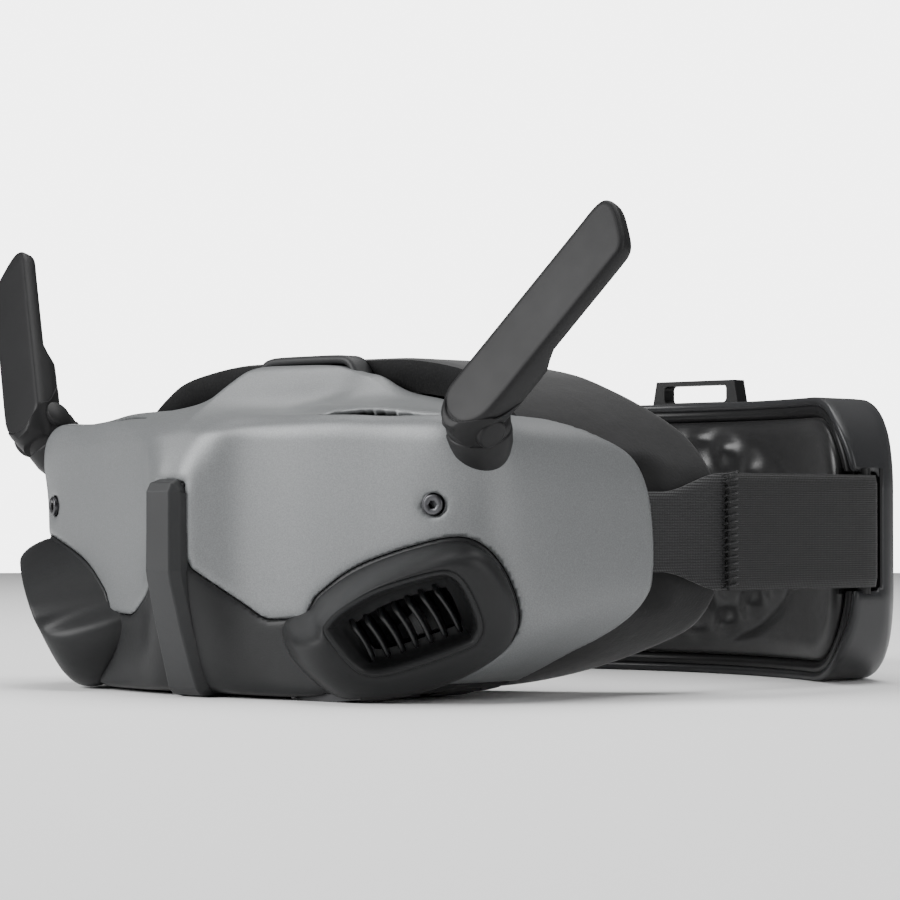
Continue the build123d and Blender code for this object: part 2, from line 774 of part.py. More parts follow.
with BuildPart() as ipd_knob:
    with BuildSketch(Plane.XY.offset(0.3)):
        with Locations((lens_x, knob_y)):
            Rectangle(*knob_size)
        with GridLocations(2.2, 1, 3, 1):
            with Locations((lens_x, knob_y)):
                Rectangle(0.8, knob_size[1], mode=Mode.SUBTRACT)
    extrude(amount=0.7)
    with BuildSketch(Plane.XY.offset(1.0)):
        with Locations((lens_x, knob_y)):
            Rectangle(*knob_size)
    extrude(amount=lens_z - lens_barrel_radius - 0.5)
    with BuildSketch(Plane.XZ.offset(-(barrel_front_y - 1))):
        with Locations((lens_x, lens_z)):
            Circle(lens_barrel_radius + 0.05)
    extrude(amount=-10, mode=Mode.SUBTRACT)
write_pair(lens_barrel.part, "lens_barrel")
write_pair(eyepiece_lens.part, "eyepiece_lens")
write_pair(display_panel.part, "display_panel")
write_pair(ipd_knob.part, "ipd_knob")

# --- electronics and cooling in front of the lenses ---
board_y = front_y + 27.0
fan_y = front_y + 31.0
fan_depth = 8.0
fan_z = 36.0
fan_size = 40.0
fan_duct_radius = 18.6
fan_hub_radius = 8.0
fan_blades = 7
with BuildPart() as mainboard:
    with BuildSketch(Plane.XZ.offset(-board_y)):
        with Locations((0, 35)):
            Rectangle(68, 42)
            with GridLocations(60, 36, 2, 2):
                Circle(1.3, mode=Mode.SUBTRACT)
    extrude(amount=-1.6)
    with BuildSketch(Plane.XZ.offset(-(board_y + 1.6))):
        with Locations((-27, 30), (27, 38)):
            Rectangle(9, 12)
    extrude(amount=-1.2)

with BuildPart() as heat_sink:
    with BuildSketch(Plane.XZ.offset(-(board_y - 2.6))):
        with Locations((0, 33)):
            Rectangle(60, 40)
    extrude(amount=-2.4)
    with BuildSketch(Plane.XZ.offset(-(front_y + 16.5))):
        with Locations((0, 31)):
            with GridLocations(5.0, 1, 9, 1):
                Rectangle(1.4, 36)
    extrude(amount=-8.2)

with BuildPart() as fan_housing:
    with BuildSketch(Plane.XZ.offset(-fan_y)):
        with Locations((0, fan_z)):
            RectangleRounded(fan_size, fan_size, 3)
            Circle(fan_duct_radius, mode=Mode.SUBTRACT)
            with GridLocations(33.5, 33.5, 2, 2):
                Circle(1.2, mode=Mode.SUBTRACT)
    extrude(amount=-fan_depth)
    with BuildSketch(Plane.XZ.offset(-fan_y)):
        with Locations((0, fan_z)):
            Circle(fan_hub_radius)
            with PolarLocations(13.5, 3):
                Rectangle(12.0, 1.6)
    extrude(amount=-1.2)
    with BuildSketch(Plane.XZ.offset(-(fan_y + 1.2))):
        with Locations((0, fan_z)):
            Circle(1.0)
    extrude(amount=-4.8)

with BuildPart() as fan_impeller:
    with BuildSketch(Plane.XZ.offset(-(fan_y + 1.6))):
        with Locations((0, fan_z)):
            Circle(fan_hub_radius)
            with PolarLocations(12.8, fan_blades):
                Rectangle(10.4, 1.4, rotation=20)
    extrude(amount=-6.0)
    with BuildSketch(Plane.XZ.offset(-(fan_y + 1.0))):
        with Locations((0, fan_z)):
            Circle(1.0 + running_clearance)
    extrude(amount=-5.2, mode=Mode.SUBTRACT)
write(mainboard.part, "mainboard")
write(heat_sink.part, "heat_sink")
write(fan_housing.part, "fan_housing")
write(fan_impeller.part, "fan_impeller")

with BuildPart() as proximity_sensor:
    with BuildSketch(Plane.XZ.offset(-(rear_plate_y + gap + plate_thickness))):
        with Locations((0, 50)):
            RectangleRounded(6, 4, 1)
    extrude(amount=-1.6)
write(proximity_sensor.part, "proximity_sensor")

# --- light shield: soft ring from the chassis to the face, with a nose cut-out ---
shield_half = [
    (0, 74.6), (30, 74.4), (45, 71.6), (53, 67.2), (60, 61.4), (66, 55), (70.6, 48.5), (72.6, 42.0),
    (72.6, 28),
    (70.6, 20.5), (64, 13.2), (53, 6.4), (40, 2.2), (25, 0.4), (0, 0.4),
]  # fmt: skip
shield_front_y = rear_plate_y + gap + plate_thickness + 0.2
nose_half_width = 15.0
nose_top = 25.0
pad_thickness = 5.0
pad_low_z = 55.0
pad_half_width = 46.0


def shield_prism(inset, start_y, end_y):
    """Front outline of the shield, pulled in by inset and extruded between two stations."""
    with BuildPart() as prism:
        with BuildSketch(Plane.XZ.offset(-start_y)):
            with BuildLine():
                Polyline(shield_half)
                mirror(about=Plane.YZ)
            make_face()
            if inset:
                offset(amount=-inset, kind=Kind.INTERSECTION)
        extrude(amount=-(end_y - start_y))
    return prism.part


with BuildPart() as head_form:
    with BuildSketch(Plane.XY.offset(-5)):
        with Locations((0, head_centre_y)):
            Circle(head_radius)
    extrude(amount=90)

with BuildPart() as pad_space:
    with BuildSketch(Plane.XY.offset(pad_low_z - gap)):
        with Locations((0, head_centre_y)):
            Circle(head_radius + pad_thickness + gap)
    extrude(amount=40)
    with BuildSketch(Plane.XY.offset(pad_low_z - gap)):
        with Locations((0, head_centre_y)):
            Rectangle(2 * pad_half_width, 200)
    extrude(amount=40, mode=Mode.INTERSECT)

with BuildPart() as nose_cut:
    with BuildSketch(Plane.XZ.offset(-(front_y + 60))):
        with BuildLine():
            Polyline((-nose_half_width - 7, -5), (-nose_half_width, 8), (-7, nose_top), (7, nose_top),
                     (nose_half_width, 8), (nose_half_width + 7, -5), close=True)
        make_face()
        fillet(vertices().group_by(Axis.Z)[-1], 4)
    extrude(amount=-60)

with BuildPart() as hook_pockets:
    with BuildSketch(Plane.YZ):
        with Locations((front_y + 68.5, strap_z)):
            Rectangle(33, 40)
    extrude(amount=90, both=True)
    with BuildSketch(Plane.YZ):
        with Locations((front_y + 66, strap_z)):
            Rectangle(60, 80)
    extrude(amount=arm_x - 1.3, both=True, mode=Mode.SUBTRACT)

with BuildPart() as neck_slab:
    with BuildSketch(Plane.XZ.offset(-shield_front_y)):
        Rectangle(300, 200)
    extrude(amount=-18)

shield_outside = shield_prism(0, shield_front_y, shield_rear_y) - housing(-gap)
shield_neck = open_cavity(wall + gap) & neck_slab.part
with BuildPart() as light_shield:
    add(shield_outside + shield_neck)
    add(shield_prism(shield_wall, front_y, shield_rear_y + 5), mode=Mode.SUBTRACT)
    add(head_form.part + pad_space.part + nose_cut.part + hook_pockets.part, mode=Mode.SUBTRACT)
write(light_shield.part, "light_shield")

with BuildPart() as forehead_pad:
    with BuildSketch(Plane.XY.offset(pad_low_z)):
        with Locations((0, head_centre_y)):
            Circle(head_radius + pad_thickness)
            Circle(head_radius, mode=Mode.SUBTRACT)
    extrude(amount=30)
    with BuildSketch(Plane.XY.offset(pad_low_z)):
        with Locations((0, front_y + 60)):
            Rectangle(2 * pad_half_width - 2 * gap, 120)
    extrude(amount=40, mode=Mode.INTERSECT)
    add(shield_prism(1.0, front_y, shield_rear_y + 5), mode=Mode.INTERSECT)
write(forehead_pad.part, "forehead_pad")

# --- headband: hooks pivoted on the chassis arms, elastic straps and their top layers ---
hook_x = 70.5
hook_thickness = 1.8
pivot_radius = 2.5
rivet_head_radius = 4.0
with BuildPart() as headband_rivet:
    with BuildSketch(Plane.YZ.offset(arm_x - 0.9)):
        with Locations((hook_pivot_y, strap_z)):
            Circle(pivot_radius)
    extrude(amount=hook_x + hook_thickness + 0.3 - (arm_x - 0.9))
    with BuildSketch(Plane.YZ.offset(hook_x + hook_thickness + 0.2)):
        with Locations((hook_pivot_y, strap_z)):
            Circle(rivet_head_radius)
    extrude(amount=1.2)
write(both_sides(headband_rivet.part), "headband_rivets")

with BuildPart() as strap_hook:
    with BuildSketch(Plane.YZ.offset(hook_x)):
        with Locations((hook_pivot_y, strap_z)):
            Circle(hook_height / 2)
        with Locations((hook_pivot_y + 8, strap_z)):
            Rectangle(16, hook_height)
        with Locations((hook_pivot_y, strap_z)):
            Circle(pivot_radius + running_clearance, mode=Mode.SUBTRACT)
    extrude(amount=hook_thickness)
write_pair(strap_hook.part, "strap_hook")

strap_start_y = front_y + 70.0
strap_end_y = front_y + 147.0
strap_flare_y = front_y + 99.0
strap_neck_height = 17.5
strap_start_x = 72.5
strap_mid_x = 75.7
strap_end_x = 76.2


def strap_x(y):
    """Inner face of the strap in plan: a shallow arc that bows outward."""
    t = (y - strap_start_y) / (strap_end_y - strap_start_y)
    bow = 4 * t * (1 - t)
    straight = strap_start_x + t * (strap_end_x - strap_start_x)
    return straight + bow * (strap_mid_x - (strap_start_x + strap_end_x) / 2)


def strap_layer(start_y, end_y, offset_x, thickness, flare):
    """A band between two stations, bowed in plan, with its height flaring from neck to full width."""
    middle_y = (start_y + end_y) / 2
    stations = [(strap_x(y) + offset_x, y) for y in (start_y, middle_y, end_y)]
    outer = [(x + thickness, y) for x, y in stations]
    half = strap_height / 2
    neck = strap_neck_height / 2
    with BuildPart() as band:
        with BuildSketch(Plane.XY):
            with BuildLine():
                ThreePointArc(*stations)
                Line(stations[2], outer[2])
                ThreePointArc(*outer[::-1])
                Line(outer[0], stations[0])
            make_face()
        extrude(amount=80)
        with BuildSketch(Plane.YZ):
            with BuildLine():
                if flare:
                    Polyline((start_y, strap_z - neck), (start_y, strap_z + neck),
                             (start_y + 10, strap_z + neck),
                             (strap_flare_y, strap_z + half), (end_y, strap_z + half),
                             (end_y, strap_z - half),
                             (strap_flare_y, strap_z - half), (start_y + 10, strap_z - neck), close=True)
                else:
                    Polyline((start_y, strap_z - half), (start_y, strap_z + half), (end_y, strap_z + half),
                             (end_y, strap_z - half), close=True)
            make_face()
        extrude(amount=100, mode=Mode.INTERSECT)
    return band.part


write_pair(strap_layer(strap_start_y, strap_end_y - 5, 0, strap_thickness, True), "strap_elastic")

end_bar_x = 75.6
end_bar_y = front_y + 151.0
end_bar_radius = 1.7
loop_inner_radius = 2.0
loop_outer_radius = 3.3
with BuildPart() as strap_return:
    with BuildSketch(Plane.XY.offset(strap_z - strap_height / 2)):
        with Locations((end_bar_x, end_bar_y)):
            Circle(loop_outer_radius)
            Circle(loop_inner_radius, mode=Mode.SUBTRACT)
    extrude(amount=strap_height)
top_layer = strap_layer(strap_flare_y, end_bar_y - 0.5, strap_thickness + 0.1, 1.3, False)
with BuildPart() as strap_top:
    add(top_layer + strap_return.part)
write_pair(strap_top.part, "strap_top")

# --- rear unit: a curved case that holds the battery, with a cushion for the back of the head ---
unit_corner = 22.0
unit_front_y = front_y + 146.0


def unit_form(outer_inset, inner_inset, edge_inset, front_inset=0.0):
    """Rear unit between its two arcs, moved inwards, with the rounded outline pulled in by edge_inset."""
    with BuildPart() as form:
        with BuildSketch(Plane.XY.offset(-1)):
            with Locations((0, unit_outer_centre_y)):
                Circle(unit_outer_radius - outer_inset)
            with Locations((0, unit_inner_centre_y)):
                Circle(unit_inner_radius + inner_inset, mode=Mode.SUBTRACT)
            with Locations((0, unit_front_y + front_inset + 50)):
                Rectangle(2 * (unit_half_width - edge_inset), 100, mode=Mode.INTERSECT)
        extrude(amount=80)
        with BuildSketch(Plane.XZ):
            with Locations((0, unit_height / 2)):
                RectangleRounded(2 * (unit_half_width - edge_inset), unit_height - 2 * edge_inset,
                                 unit_corner - edge_inset)
        extrude(amount=150, both=True, mode=Mode.INTERSECT)
    return form.part


cover_thickness = 2.0
unit_wall = 1.8
power_angle = 24.0
light_angles = [12.0, 14.5, 17.0, 19.5]
power_radius = 4.5


def outer_face_plane(angle, z, depth=0.0):
    """Plane on the rear unit's outer face at an angle from straight back, with its normal pointing out."""
    a = radians(angle)
    reach = unit_outer_radius - depth
    origin = (reach * sin(a), unit_outer_centre_y + reach * cos(a), z)
    return Plane(origin=origin, x_dir=(cos(a), -sin(a), 0), z_dir=(sin(a), cos(a), 0))


with BuildPart() as unit_holes:
    with BuildSketch(outer_face_plane(power_angle, unit_height / 2)):
        Circle(power_radius + 0.3)
    extrude(amount=4, both=True)
    for angle in light_angles:
        with BuildSketch(outer_face_plane(angle, unit_height / 2)):
            Circle(0.9)
        extrude(amount=4, both=True)

with BuildPart() as end_slots:
    with BuildSketch(Plane.XY.offset(strap_z - strap_height / 2 - 1)):
        with Locations((end_bar_x + 2.0, end_bar_y), (-end_bar_x - 2.0, end_bar_y)):
            Rectangle(11.6, 10.6)
    extrude(amount=strap_height + 2)

with BuildPart() as end_bars:
    with BuildSketch(Plane.XY.offset(strap_z - strap_height / 2 - 2)):
        with Locations((end_bar_x, end_bar_y), (-end_bar_x, end_bar_y)):
            Circle(end_bar_radius)
    extrude(amount=strap_height + 4)

shell_inner_inset = cushion_thickness + cover_thickness + 0.2
end_block_x = 66.0
with BuildPart() as end_blocks:
    add(unit_form(0.2, shell_inner_inset, 0.2))
    with BuildSketch(Plane.XY.offset(-1)):
        Rectangle(2 * end_block_x, 400)
    extrude(amount=90, mode=Mode.SUBTRACT)
with BuildPart() as battery_shell:
    add(unit_form(0, shell_inner_inset, 0) - unit_form(unit_wall, 0, unit_wall, -20))
    add(end_blocks.part)
    add(unit_holes.part + end_slots.part, mode=Mode.SUBTRACT)
    add(end_bars.part)
write(battery_shell.part, "battery_shell")

with BuildPart() as battery_cover:
    add(unit_form(0, cushion_thickness, 0.4) - unit_form(0, cushion_thickness + cover_thickness, 0, -20))
    add(end_slots.part + end_bars.part, mode=Mode.SUBTRACT)
write(battery_cover.part, "battery_cover")

with BuildPart() as back_cushion:
    add(unit_form(0, 0, 3.5) - unit_form(0, cushion_thickness - 0.05, 0, -20))
    add(end_slots.part, mode=Mode.SUBTRACT)
write(back_cushion.part, "back_cushion")

cell_size = (52.0, 42.0, 8.0)
cell_angle = 17.2
cell_depth = 13.9
with BuildPart() as battery_cells:
    for angle in (cell_angle, -cell_angle):
        with BuildSketch(outer_face_plane(angle, unit_height / 2, cell_depth)):
            RectangleRounded(cell_size[0], cell_size[1], 2)
        extrude(amount=cell_size[2])
write(battery_cells.part, "battery_cells")

with BuildPart() as battery_board:
    with BuildSketch(outer_face_plane(power_angle - 6, unit_height / 2 + 26.5, 6.0)):
        Rectangle(44, 7)
    extrude(amount=1.2)
write(battery_board.part, "battery_board")

with BuildPart() as power_button:
    with BuildSketch(outer_face_plane(power_angle, unit_height / 2, 2.9)):
        Circle(power_radius + 0.8)
    extrude(amount=0.8)
    with BuildSketch(outer_face_plane(power_angle, unit_height / 2, 2.2)):
        Circle(power_radius)
    extrude(amount=2.4)
write(power_button.part, "power_button")

with BuildPart() as status_lights:
    for angle in light_angles:
        with BuildSketch(outer_face_plane(angle, unit_height / 2, 2.6)):
            Circle(0.85)
        extrude(amount=2.6)
write(status_lights.part, "status_lights")

rear_loop_y = front_y + 183.0
rear_loop_half = 14.0
rear_loop_opening = 10.2
rear_loop_top = 73.8
with BuildPart() as rear_loop:
    with BuildSketch(Plane.XZ.offset(-(rear_loop_y - 2.0))):
        with BuildLine():
            Polyline((-rear_loop_half, unit_height + 0.05), (-rear_loop_half + 1.2, rear_loop_top),
                     (rear_loop_half - 1.2, rear_loop_top), (rear_loop_half, unit_height + 0.05), close=True)
        make_face()
        with Locations((0, (unit_height + rear_loop_top) / 2 - 0.3)):
            RectangleRounded(2 * rear_loop_opening, 4.3, 1.0, mode=Mode.SUBTRACT)
    extrude(amount=-4.0)
write(rear_loop.part, "rear_loop")
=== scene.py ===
"""Looks of the FPV goggles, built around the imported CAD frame. Lengths here are in millimetres and are
scaled to metres when a mesh is made. The datum for y in the outlines is the nose of the goggles."""
import bmesh
import bpy
import math
import numpy as np
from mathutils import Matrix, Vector


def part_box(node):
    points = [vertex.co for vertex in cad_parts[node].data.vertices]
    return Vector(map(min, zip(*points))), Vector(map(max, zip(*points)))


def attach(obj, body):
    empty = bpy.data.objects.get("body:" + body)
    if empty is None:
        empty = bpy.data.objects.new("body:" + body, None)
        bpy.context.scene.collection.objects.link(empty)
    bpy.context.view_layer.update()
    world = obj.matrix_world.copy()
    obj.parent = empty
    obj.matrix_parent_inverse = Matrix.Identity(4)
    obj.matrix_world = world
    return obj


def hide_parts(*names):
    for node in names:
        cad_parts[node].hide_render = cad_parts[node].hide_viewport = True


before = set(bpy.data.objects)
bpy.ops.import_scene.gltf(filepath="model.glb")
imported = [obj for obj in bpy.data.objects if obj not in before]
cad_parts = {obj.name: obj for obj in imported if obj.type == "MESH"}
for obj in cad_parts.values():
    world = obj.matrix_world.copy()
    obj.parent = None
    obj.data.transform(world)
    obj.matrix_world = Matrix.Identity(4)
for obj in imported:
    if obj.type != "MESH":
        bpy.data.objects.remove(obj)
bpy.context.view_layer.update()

MM = 0.001
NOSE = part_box("lower_fascia")[0].y / MM
ELSEWHERE = 50  # a field value well outside any opening


# ---- mesh helpers
def spline(points, per=10, closed=False):
    """Smooth curve through the points, with per samples on each span."""
    p = np.array(points, float)
    n = len(p)
    out = []
    for i in range(n if closed else n - 1):
        if closed:
            a, b, c, d = p[i - 1], p[i], p[(i + 1) % n], p[(i + 2) % n]
        else:
            b, c = p[i], p[i + 1]
            a = p[i - 1] if i else 2 * b - c
            d = p[i + 2] if i + 2 < n else 2 * c - b
        for t in np.arange(per) / per:
            out.append(0.5 * (2 * b + (c - a) * t + (2 * a - 5 * b + 4 * c - d) * t**2
                              + (3 * b - a - 3 * c + d) * t**3))
    if not closed:
        out.append(p[-1])
    return np.array(out)


def outline_distance(x, y, outline):
    """Signed distance from points to a closed outline, negative inside."""
    a = outline
    b = np.roll(outline, -1, axis=0)
    best = np.full(x.shape, 1e9)
    inside = np.zeros(x.shape, bool)
    for (ax, ay), (bx, by) in zip(a, b):
        ex, ey = bx - ax, by - ay
        wx, wy = x - ax, y - ay
        t = np.clip((wx * ex + wy * ey) / (ex * ex + ey * ey + 1e-12), 0, 1)
        best = np.minimum(best, (wx - ex * t) ** 2 + (wy - ey * t) ** 2)
        if ay != by:
            cross = ((ay > y) != (by > y)) & (x < (bx - ax) * (y - ay) / (by - ay) + ax)
            inside ^= cross
    return np.where(inside, -1, 1) * np.sqrt(best)


def smooth_max(a, b, k):
    """The larger value, blended where the two are within k of each other."""
    return np.maximum(a, b) + np.maximum(k - np.abs(a - b), 0) ** 2 / (4 * k)


def step(low, high, v):
    """Smooth step from 0 at low to 1 at high."""
    t = np.clip((v - low) / (high - low), 0, 1)
    return t * t * (3 - 2 * t)


def bump(x, centre, width):
    return np.exp(-(((x - centre) / width) ** 2))


def make(name, verts, faces, paint, body, smooth=True, nodes=(), slot=None):
    """Mesh object from millimetre vertices measured from the nose datum."""
    v = np.array(verts, float).reshape(-1, 3)
    v = (v + (0, NOSE, 0)) * MM
    mesh = bpy.data.meshes.new(name)
    mesh.from_pydata(v.tolist(), [], [list(map(int, f)) for f in faces])
    mesh.validate()
    mesh.update()
    if smooth:
        mesh.polygons.foreach_set("use_smooth", [True] * len(mesh.polygons))
    obj = bpy.data.objects.new(name, mesh)
    bpy.context.scene.collection.objects.link(obj)
    obj.data.materials.append(paint)
    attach(obj, body)
    if nodes:
        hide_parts(*nodes)
    return obj


def face_out(obj):
    """Consistent outward normals."""
    bm = bmesh.new()
    bm.from_mesh(obj.data)
    bmesh.ops.recalc_face_normals(bm, faces=bm.faces)
    bm.to_mesh(obj.data)
    bm.free()
    return obj


def bevel(obj, width, segments, angle, harden):
    """Rounds the edges that turn by more than the angle."""
    m = obj.modifiers.new("edge_round", "BEVEL")
    m.width = width * MM
    m.segments = segments
    m.limit_method = "ANGLE"
    m.angle_limit = math.radians(angle)
    m.harden_normals = harden


def solidify(obj, thickness):
    """Gives a skin its wall, inwards."""
    m = obj.modifiers.new("wall", "SOLIDIFY")
    m.thickness = thickness * MM
    m.offset = -1
    m.use_even_offset = False


def mirrored(verts, faces):
    """The same piece on the other side."""
    v = np.array(verts, float) * (-1, 1, 1)
    return v, [list(reversed(list(f))) for f in faces]


def box_grid(low, high, pitch):
    """Quads over the whole surface of a box, welded along its edges."""
    low, high = np.array(low, float), np.array(high, float)
    counts = np.maximum(2, np.round((high - low) / pitch).astype(int))
    verts, faces, index = [], [], {}

    def vertex(key):
        if key not in index:
            index[key] = len(verts)
            verts.append(low + (high - low) * np.array(key) / counts)
        return index[key]

    for axis in range(3):
        u, w = [a for a in range(3) if a != axis]
        for end in (0, counts[axis]):
            for i in range(counts[u]):
                for j in range(counts[w]):
                    quad = []
                    for di, dj in ((0, 0), (1, 0), (1, 1), (0, 1)):
                        key = [0, 0, 0]
                        key[axis], key[u], key[w] = end, i + di, j + dj
                        quad.append(vertex(tuple(key)))
                    flip = (end == 0) != (axis == 1)
                    faces.append(quad[::-1] if flip else quad)
    return np.array(verts), np.array(faces)


def clip(verts, faces, field):
    """Part of a quad mesh where the field is positive, cut cleanly along its zero line."""
    v = verts.copy()
    s = field.copy()
    edges = set()
    for f in faces:
        for a, b in zip(f, np.roll(f, -1)):
            if (s[a] > 0) != (s[b] > 0):
                edges.add((min(a, b), max(a, b)))
    moved = {}
    for a, b in edges:
        t = s[a] / (s[a] - s[b])
        if t < 0.3 and (a not in moved or t < moved[a][0]):
            moved[a] = (t, v[a] + (v[b] - v[a]) * t)
        if t > 0.7 and (b not in moved or 1 - t < moved[b][0]):
            moved[b] = (1 - t, v[a] + (v[b] - v[a]) * t)
    for a, (_, p) in moved.items():
        v[a] = p
        s[a] = 0.0
    out_v = v.tolist()
    out_f = []
    cuts = {}
    for f in faces:
        vals = s[f]
        if (vals >= 0).all():
            if (vals > 0).any():
                out_f.append(list(f))
            continue
        if (vals <= 0).all():
            continue
        poly = []
        for a, b in zip(f, np.roll(f, -1)):
            if s[a] >= 0:
                poly.append(int(a))
            if (s[a] > 0 and s[b] < 0) or (s[a] < 0 and s[b] > 0):
                key = (min(a, b), max(a, b))
                if key not in cuts:
                    t = s[a] / (s[a] - s[b])
                    cuts[key] = len(out_v)
                    out_v.append((v[a] + (v[b] - v[a]) * t).tolist())
                poly.append(cuts[key])
        if len(poly) >= 3:
            out_f.append(poly)
    used = sorted({i for f in out_f for i in f})
    remap = {old: new for new, old in enumerate(used)}
    rest = np.concatenate([s, np.zeros(len(out_v) - len(s))])
    return np.array([out_v[i] for i in used]), [[remap[i] for i in f] for f in out_f], rest[used]


def loft(rings, closed=True, cap_start=False, cap_end=False):
    """Faces between equal rings of points."""
    verts = np.concatenate(rings)
    n = len(rings[0])
    faces = []
    for r in range(len(rings) - 1):
        for i in range(n if closed else n - 1):
            a, b = r * n + i, r * n + (i + 1) % n
            faces.append([a, b, b + n, a + n])
    if cap_start:
        faces.append(list(range(n))[::-1])
    if cap_end:
        faces.append(list(range((len(rings) - 1) * n, len(rings) * n)))
    return verts, faces


def prism(outline, place, depth_low, depth_high):
    """Closed solid from a flat outline; place(u, v, depth) gives its points."""
    o = np.array(outline, float)
    low = np.array([place(u, v, depth_low) for u, v in o])
    high = np.array([place(u, v, depth_high) for u, v in o])
    return loft([low, high], cap_start=True, cap_end=True)


def join(parts):
    """Several (verts, faces) as one."""
    verts, faces, base = [], [], 0
    for v, f in parts:
        verts.append(np.array(v, float))
        faces += [[i + base for i in q] for q in f]
        base += len(v)
    return np.concatenate(verts), faces


# ---- materials
def material(name, colour, roughness, metallic=0.0, specular=0.5, sheen=0.0, sheen_roughness=0.3,
             coat=0.0):
    m = bpy.data.materials.new(name)
    m.use_nodes = True
    shader = m.node_tree.nodes["Principled BSDF"]
    shader.inputs["Base Color"].default_value = (*colour, 1)
    shader.inputs["Roughness"].default_value = roughness
    shader.inputs["Metallic"].default_value = metallic
    shader.inputs["Specular IOR Level"].default_value = specular
    shader.inputs["Sheen Weight"].default_value = sheen
    shader.inputs["Sheen Roughness"].default_value = sheen_roughness
    shader.inputs["Coat Weight"].default_value = coat
    return m, shader


class Graph:
    """Short names for the nodes that the materials share."""

    def __init__(self, m):
        self.tree = m.node_tree
        self.coords = self.node("ShaderNodeTexCoord").outputs["Object"]

    def node(self, kind):
        return self.tree.nodes.new(kind)

    def link(self, a, b):
        self.tree.links.new(a, b)

    def noise(self, scale_mm, detail=3.0, stretch=None):
        n = self.node("ShaderNodeTexNoise")
        n.inputs["Scale"].default_value = 1.0 / (scale_mm * MM)
        n.inputs["Detail"].default_value = detail
        source = self.coords
        if stretch:
            mapping = self.node("ShaderNodeMapping")
            mapping.inputs["Scale"].default_value = stretch
            self.link(source, mapping.inputs["Vector"])
            source = mapping.outputs["Vector"]
        self.link(source, n.inputs["Vector"])
        return n.outputs["Fac"]

    def ramp(self, source, low, high, c0, c1):
        n = self.node("ShaderNodeValToRGB")
        for element, place, colour in zip(n.color_ramp.elements, (low, high), (c0, c1)):
            element.position = place
            element.color = (*colour, 1)
        self.link(source, n.inputs["Fac"])
        return n.outputs["Color"]

    def range(self, source, low, high):
        n = self.node("ShaderNodeMapRange")
        n.inputs["To Min"].default_value = low
        n.inputs["To Max"].default_value = high
        self.link(source, n.inputs["Value"])
        return n.outputs["Result"]

    def bump(self, height, distance_mm, strength=1.0, chain=None):
        n = self.node("ShaderNodeBump")
        n.inputs["Distance"].default_value = distance_mm * MM
        n.inputs["Strength"].default_value = strength
        self.link(height, n.inputs["Height"])
        if chain is not None:
            self.link(chain, n.inputs["Normal"])
        return n.outputs["Normal"]


WAVE = 0.314159  # the wave texture's scale for one band in one unit


def scaled(colour, k):
    return tuple(c * k for c in colour)


def plastic(name, colour, roughness, grain_mm, grain_depth, spread, specular=0.5):
    """Moulded plastic: fine grain, faint cloudy colour, and slightly uneven gloss."""
    m, shader = material(name, colour, roughness, specular=specular)
    g = Graph(m)
    cloud = g.noise(14, 4)
    g.link(g.ramp(cloud, 0.3, 0.7, scaled(colour, 1 - spread / 2), scaled(colour, 1 + spread / 2)),
           shader.inputs["Base Color"])
    g.link(g.range(g.noise(5, 5), roughness - 0.04, roughness + 0.05), shader.inputs["Roughness"])
    g.link(g.bump(g.noise(grain_mm, 2), grain_depth), shader.inputs["Normal"])
    return m


def metal(name, colour, roughness, scratch_mm=0.6):
    """Bare metal with fine streaks."""
    m, shader = material(name, colour, roughness, metallic=1.0)
    g = Graph(m)
    streak = g.noise(scratch_mm, 4, (1, 1, 6))
    g.link(g.range(streak, roughness - 0.08, roughness + 0.12), shader.inputs["Roughness"])
    g.link(g.ramp(g.noise(3, 3), 0.3, 0.7, scaled(colour, 0.85), scaled(colour, 1.08)),
           shader.inputs["Base Color"])
    g.link(g.bump(streak, 0.01), shader.inputs["Normal"])
    return m


def shell_paint():
    """Satin grey paint with a fine metallic fleck over moulded plastic."""
    colour = (0.15, 0.156, 0.159)
    m, shader = material("shell_paint", colour, 0.42, metallic=0.25, specular=0.5)
    g = Graph(m)
    fleck = g.noise(0.28, 1)
    g.link(g.ramp(fleck, 0.35, 0.72, scaled(colour, 0.88), scaled(colour, 1.14)),
           shader.inputs["Base Color"])
    g.link(g.range(g.noise(6, 4), 0.39, 0.46), shader.inputs["Roughness"])
    g.link(g.bump(fleck, 0.010, 0.8), shader.inputs["Normal"])
    return m


def knit(name, colour, pitch_mm, depth, roughness, sheen):
    """Smooth stretch knit over foam: fine columns of stitches, with a soft sheen."""
    m, shader = material(name, colour, roughness, sheen=sheen, sheen_roughness=0.4, specular=0.3)
    g = Graph(m)
    g.link(g.ramp(g.noise(9, 4), 0.3, 0.7, scaled(colour, 0.8), scaled(colour, 1.3)),
           shader.inputs["Base Color"])
    cell = g.node("ShaderNodeTexVoronoi")
    cell.inputs["Scale"].default_value = 1 / (pitch_mm * MM)
    g.link(g.coords, cell.inputs["Vector"])
    first = g.bump(cell.outputs["Distance"], depth, 0.6)
    g.link(g.bump(g.noise(4, 3), 0.25, 0.5, first), shader.inputs["Normal"])
    return m


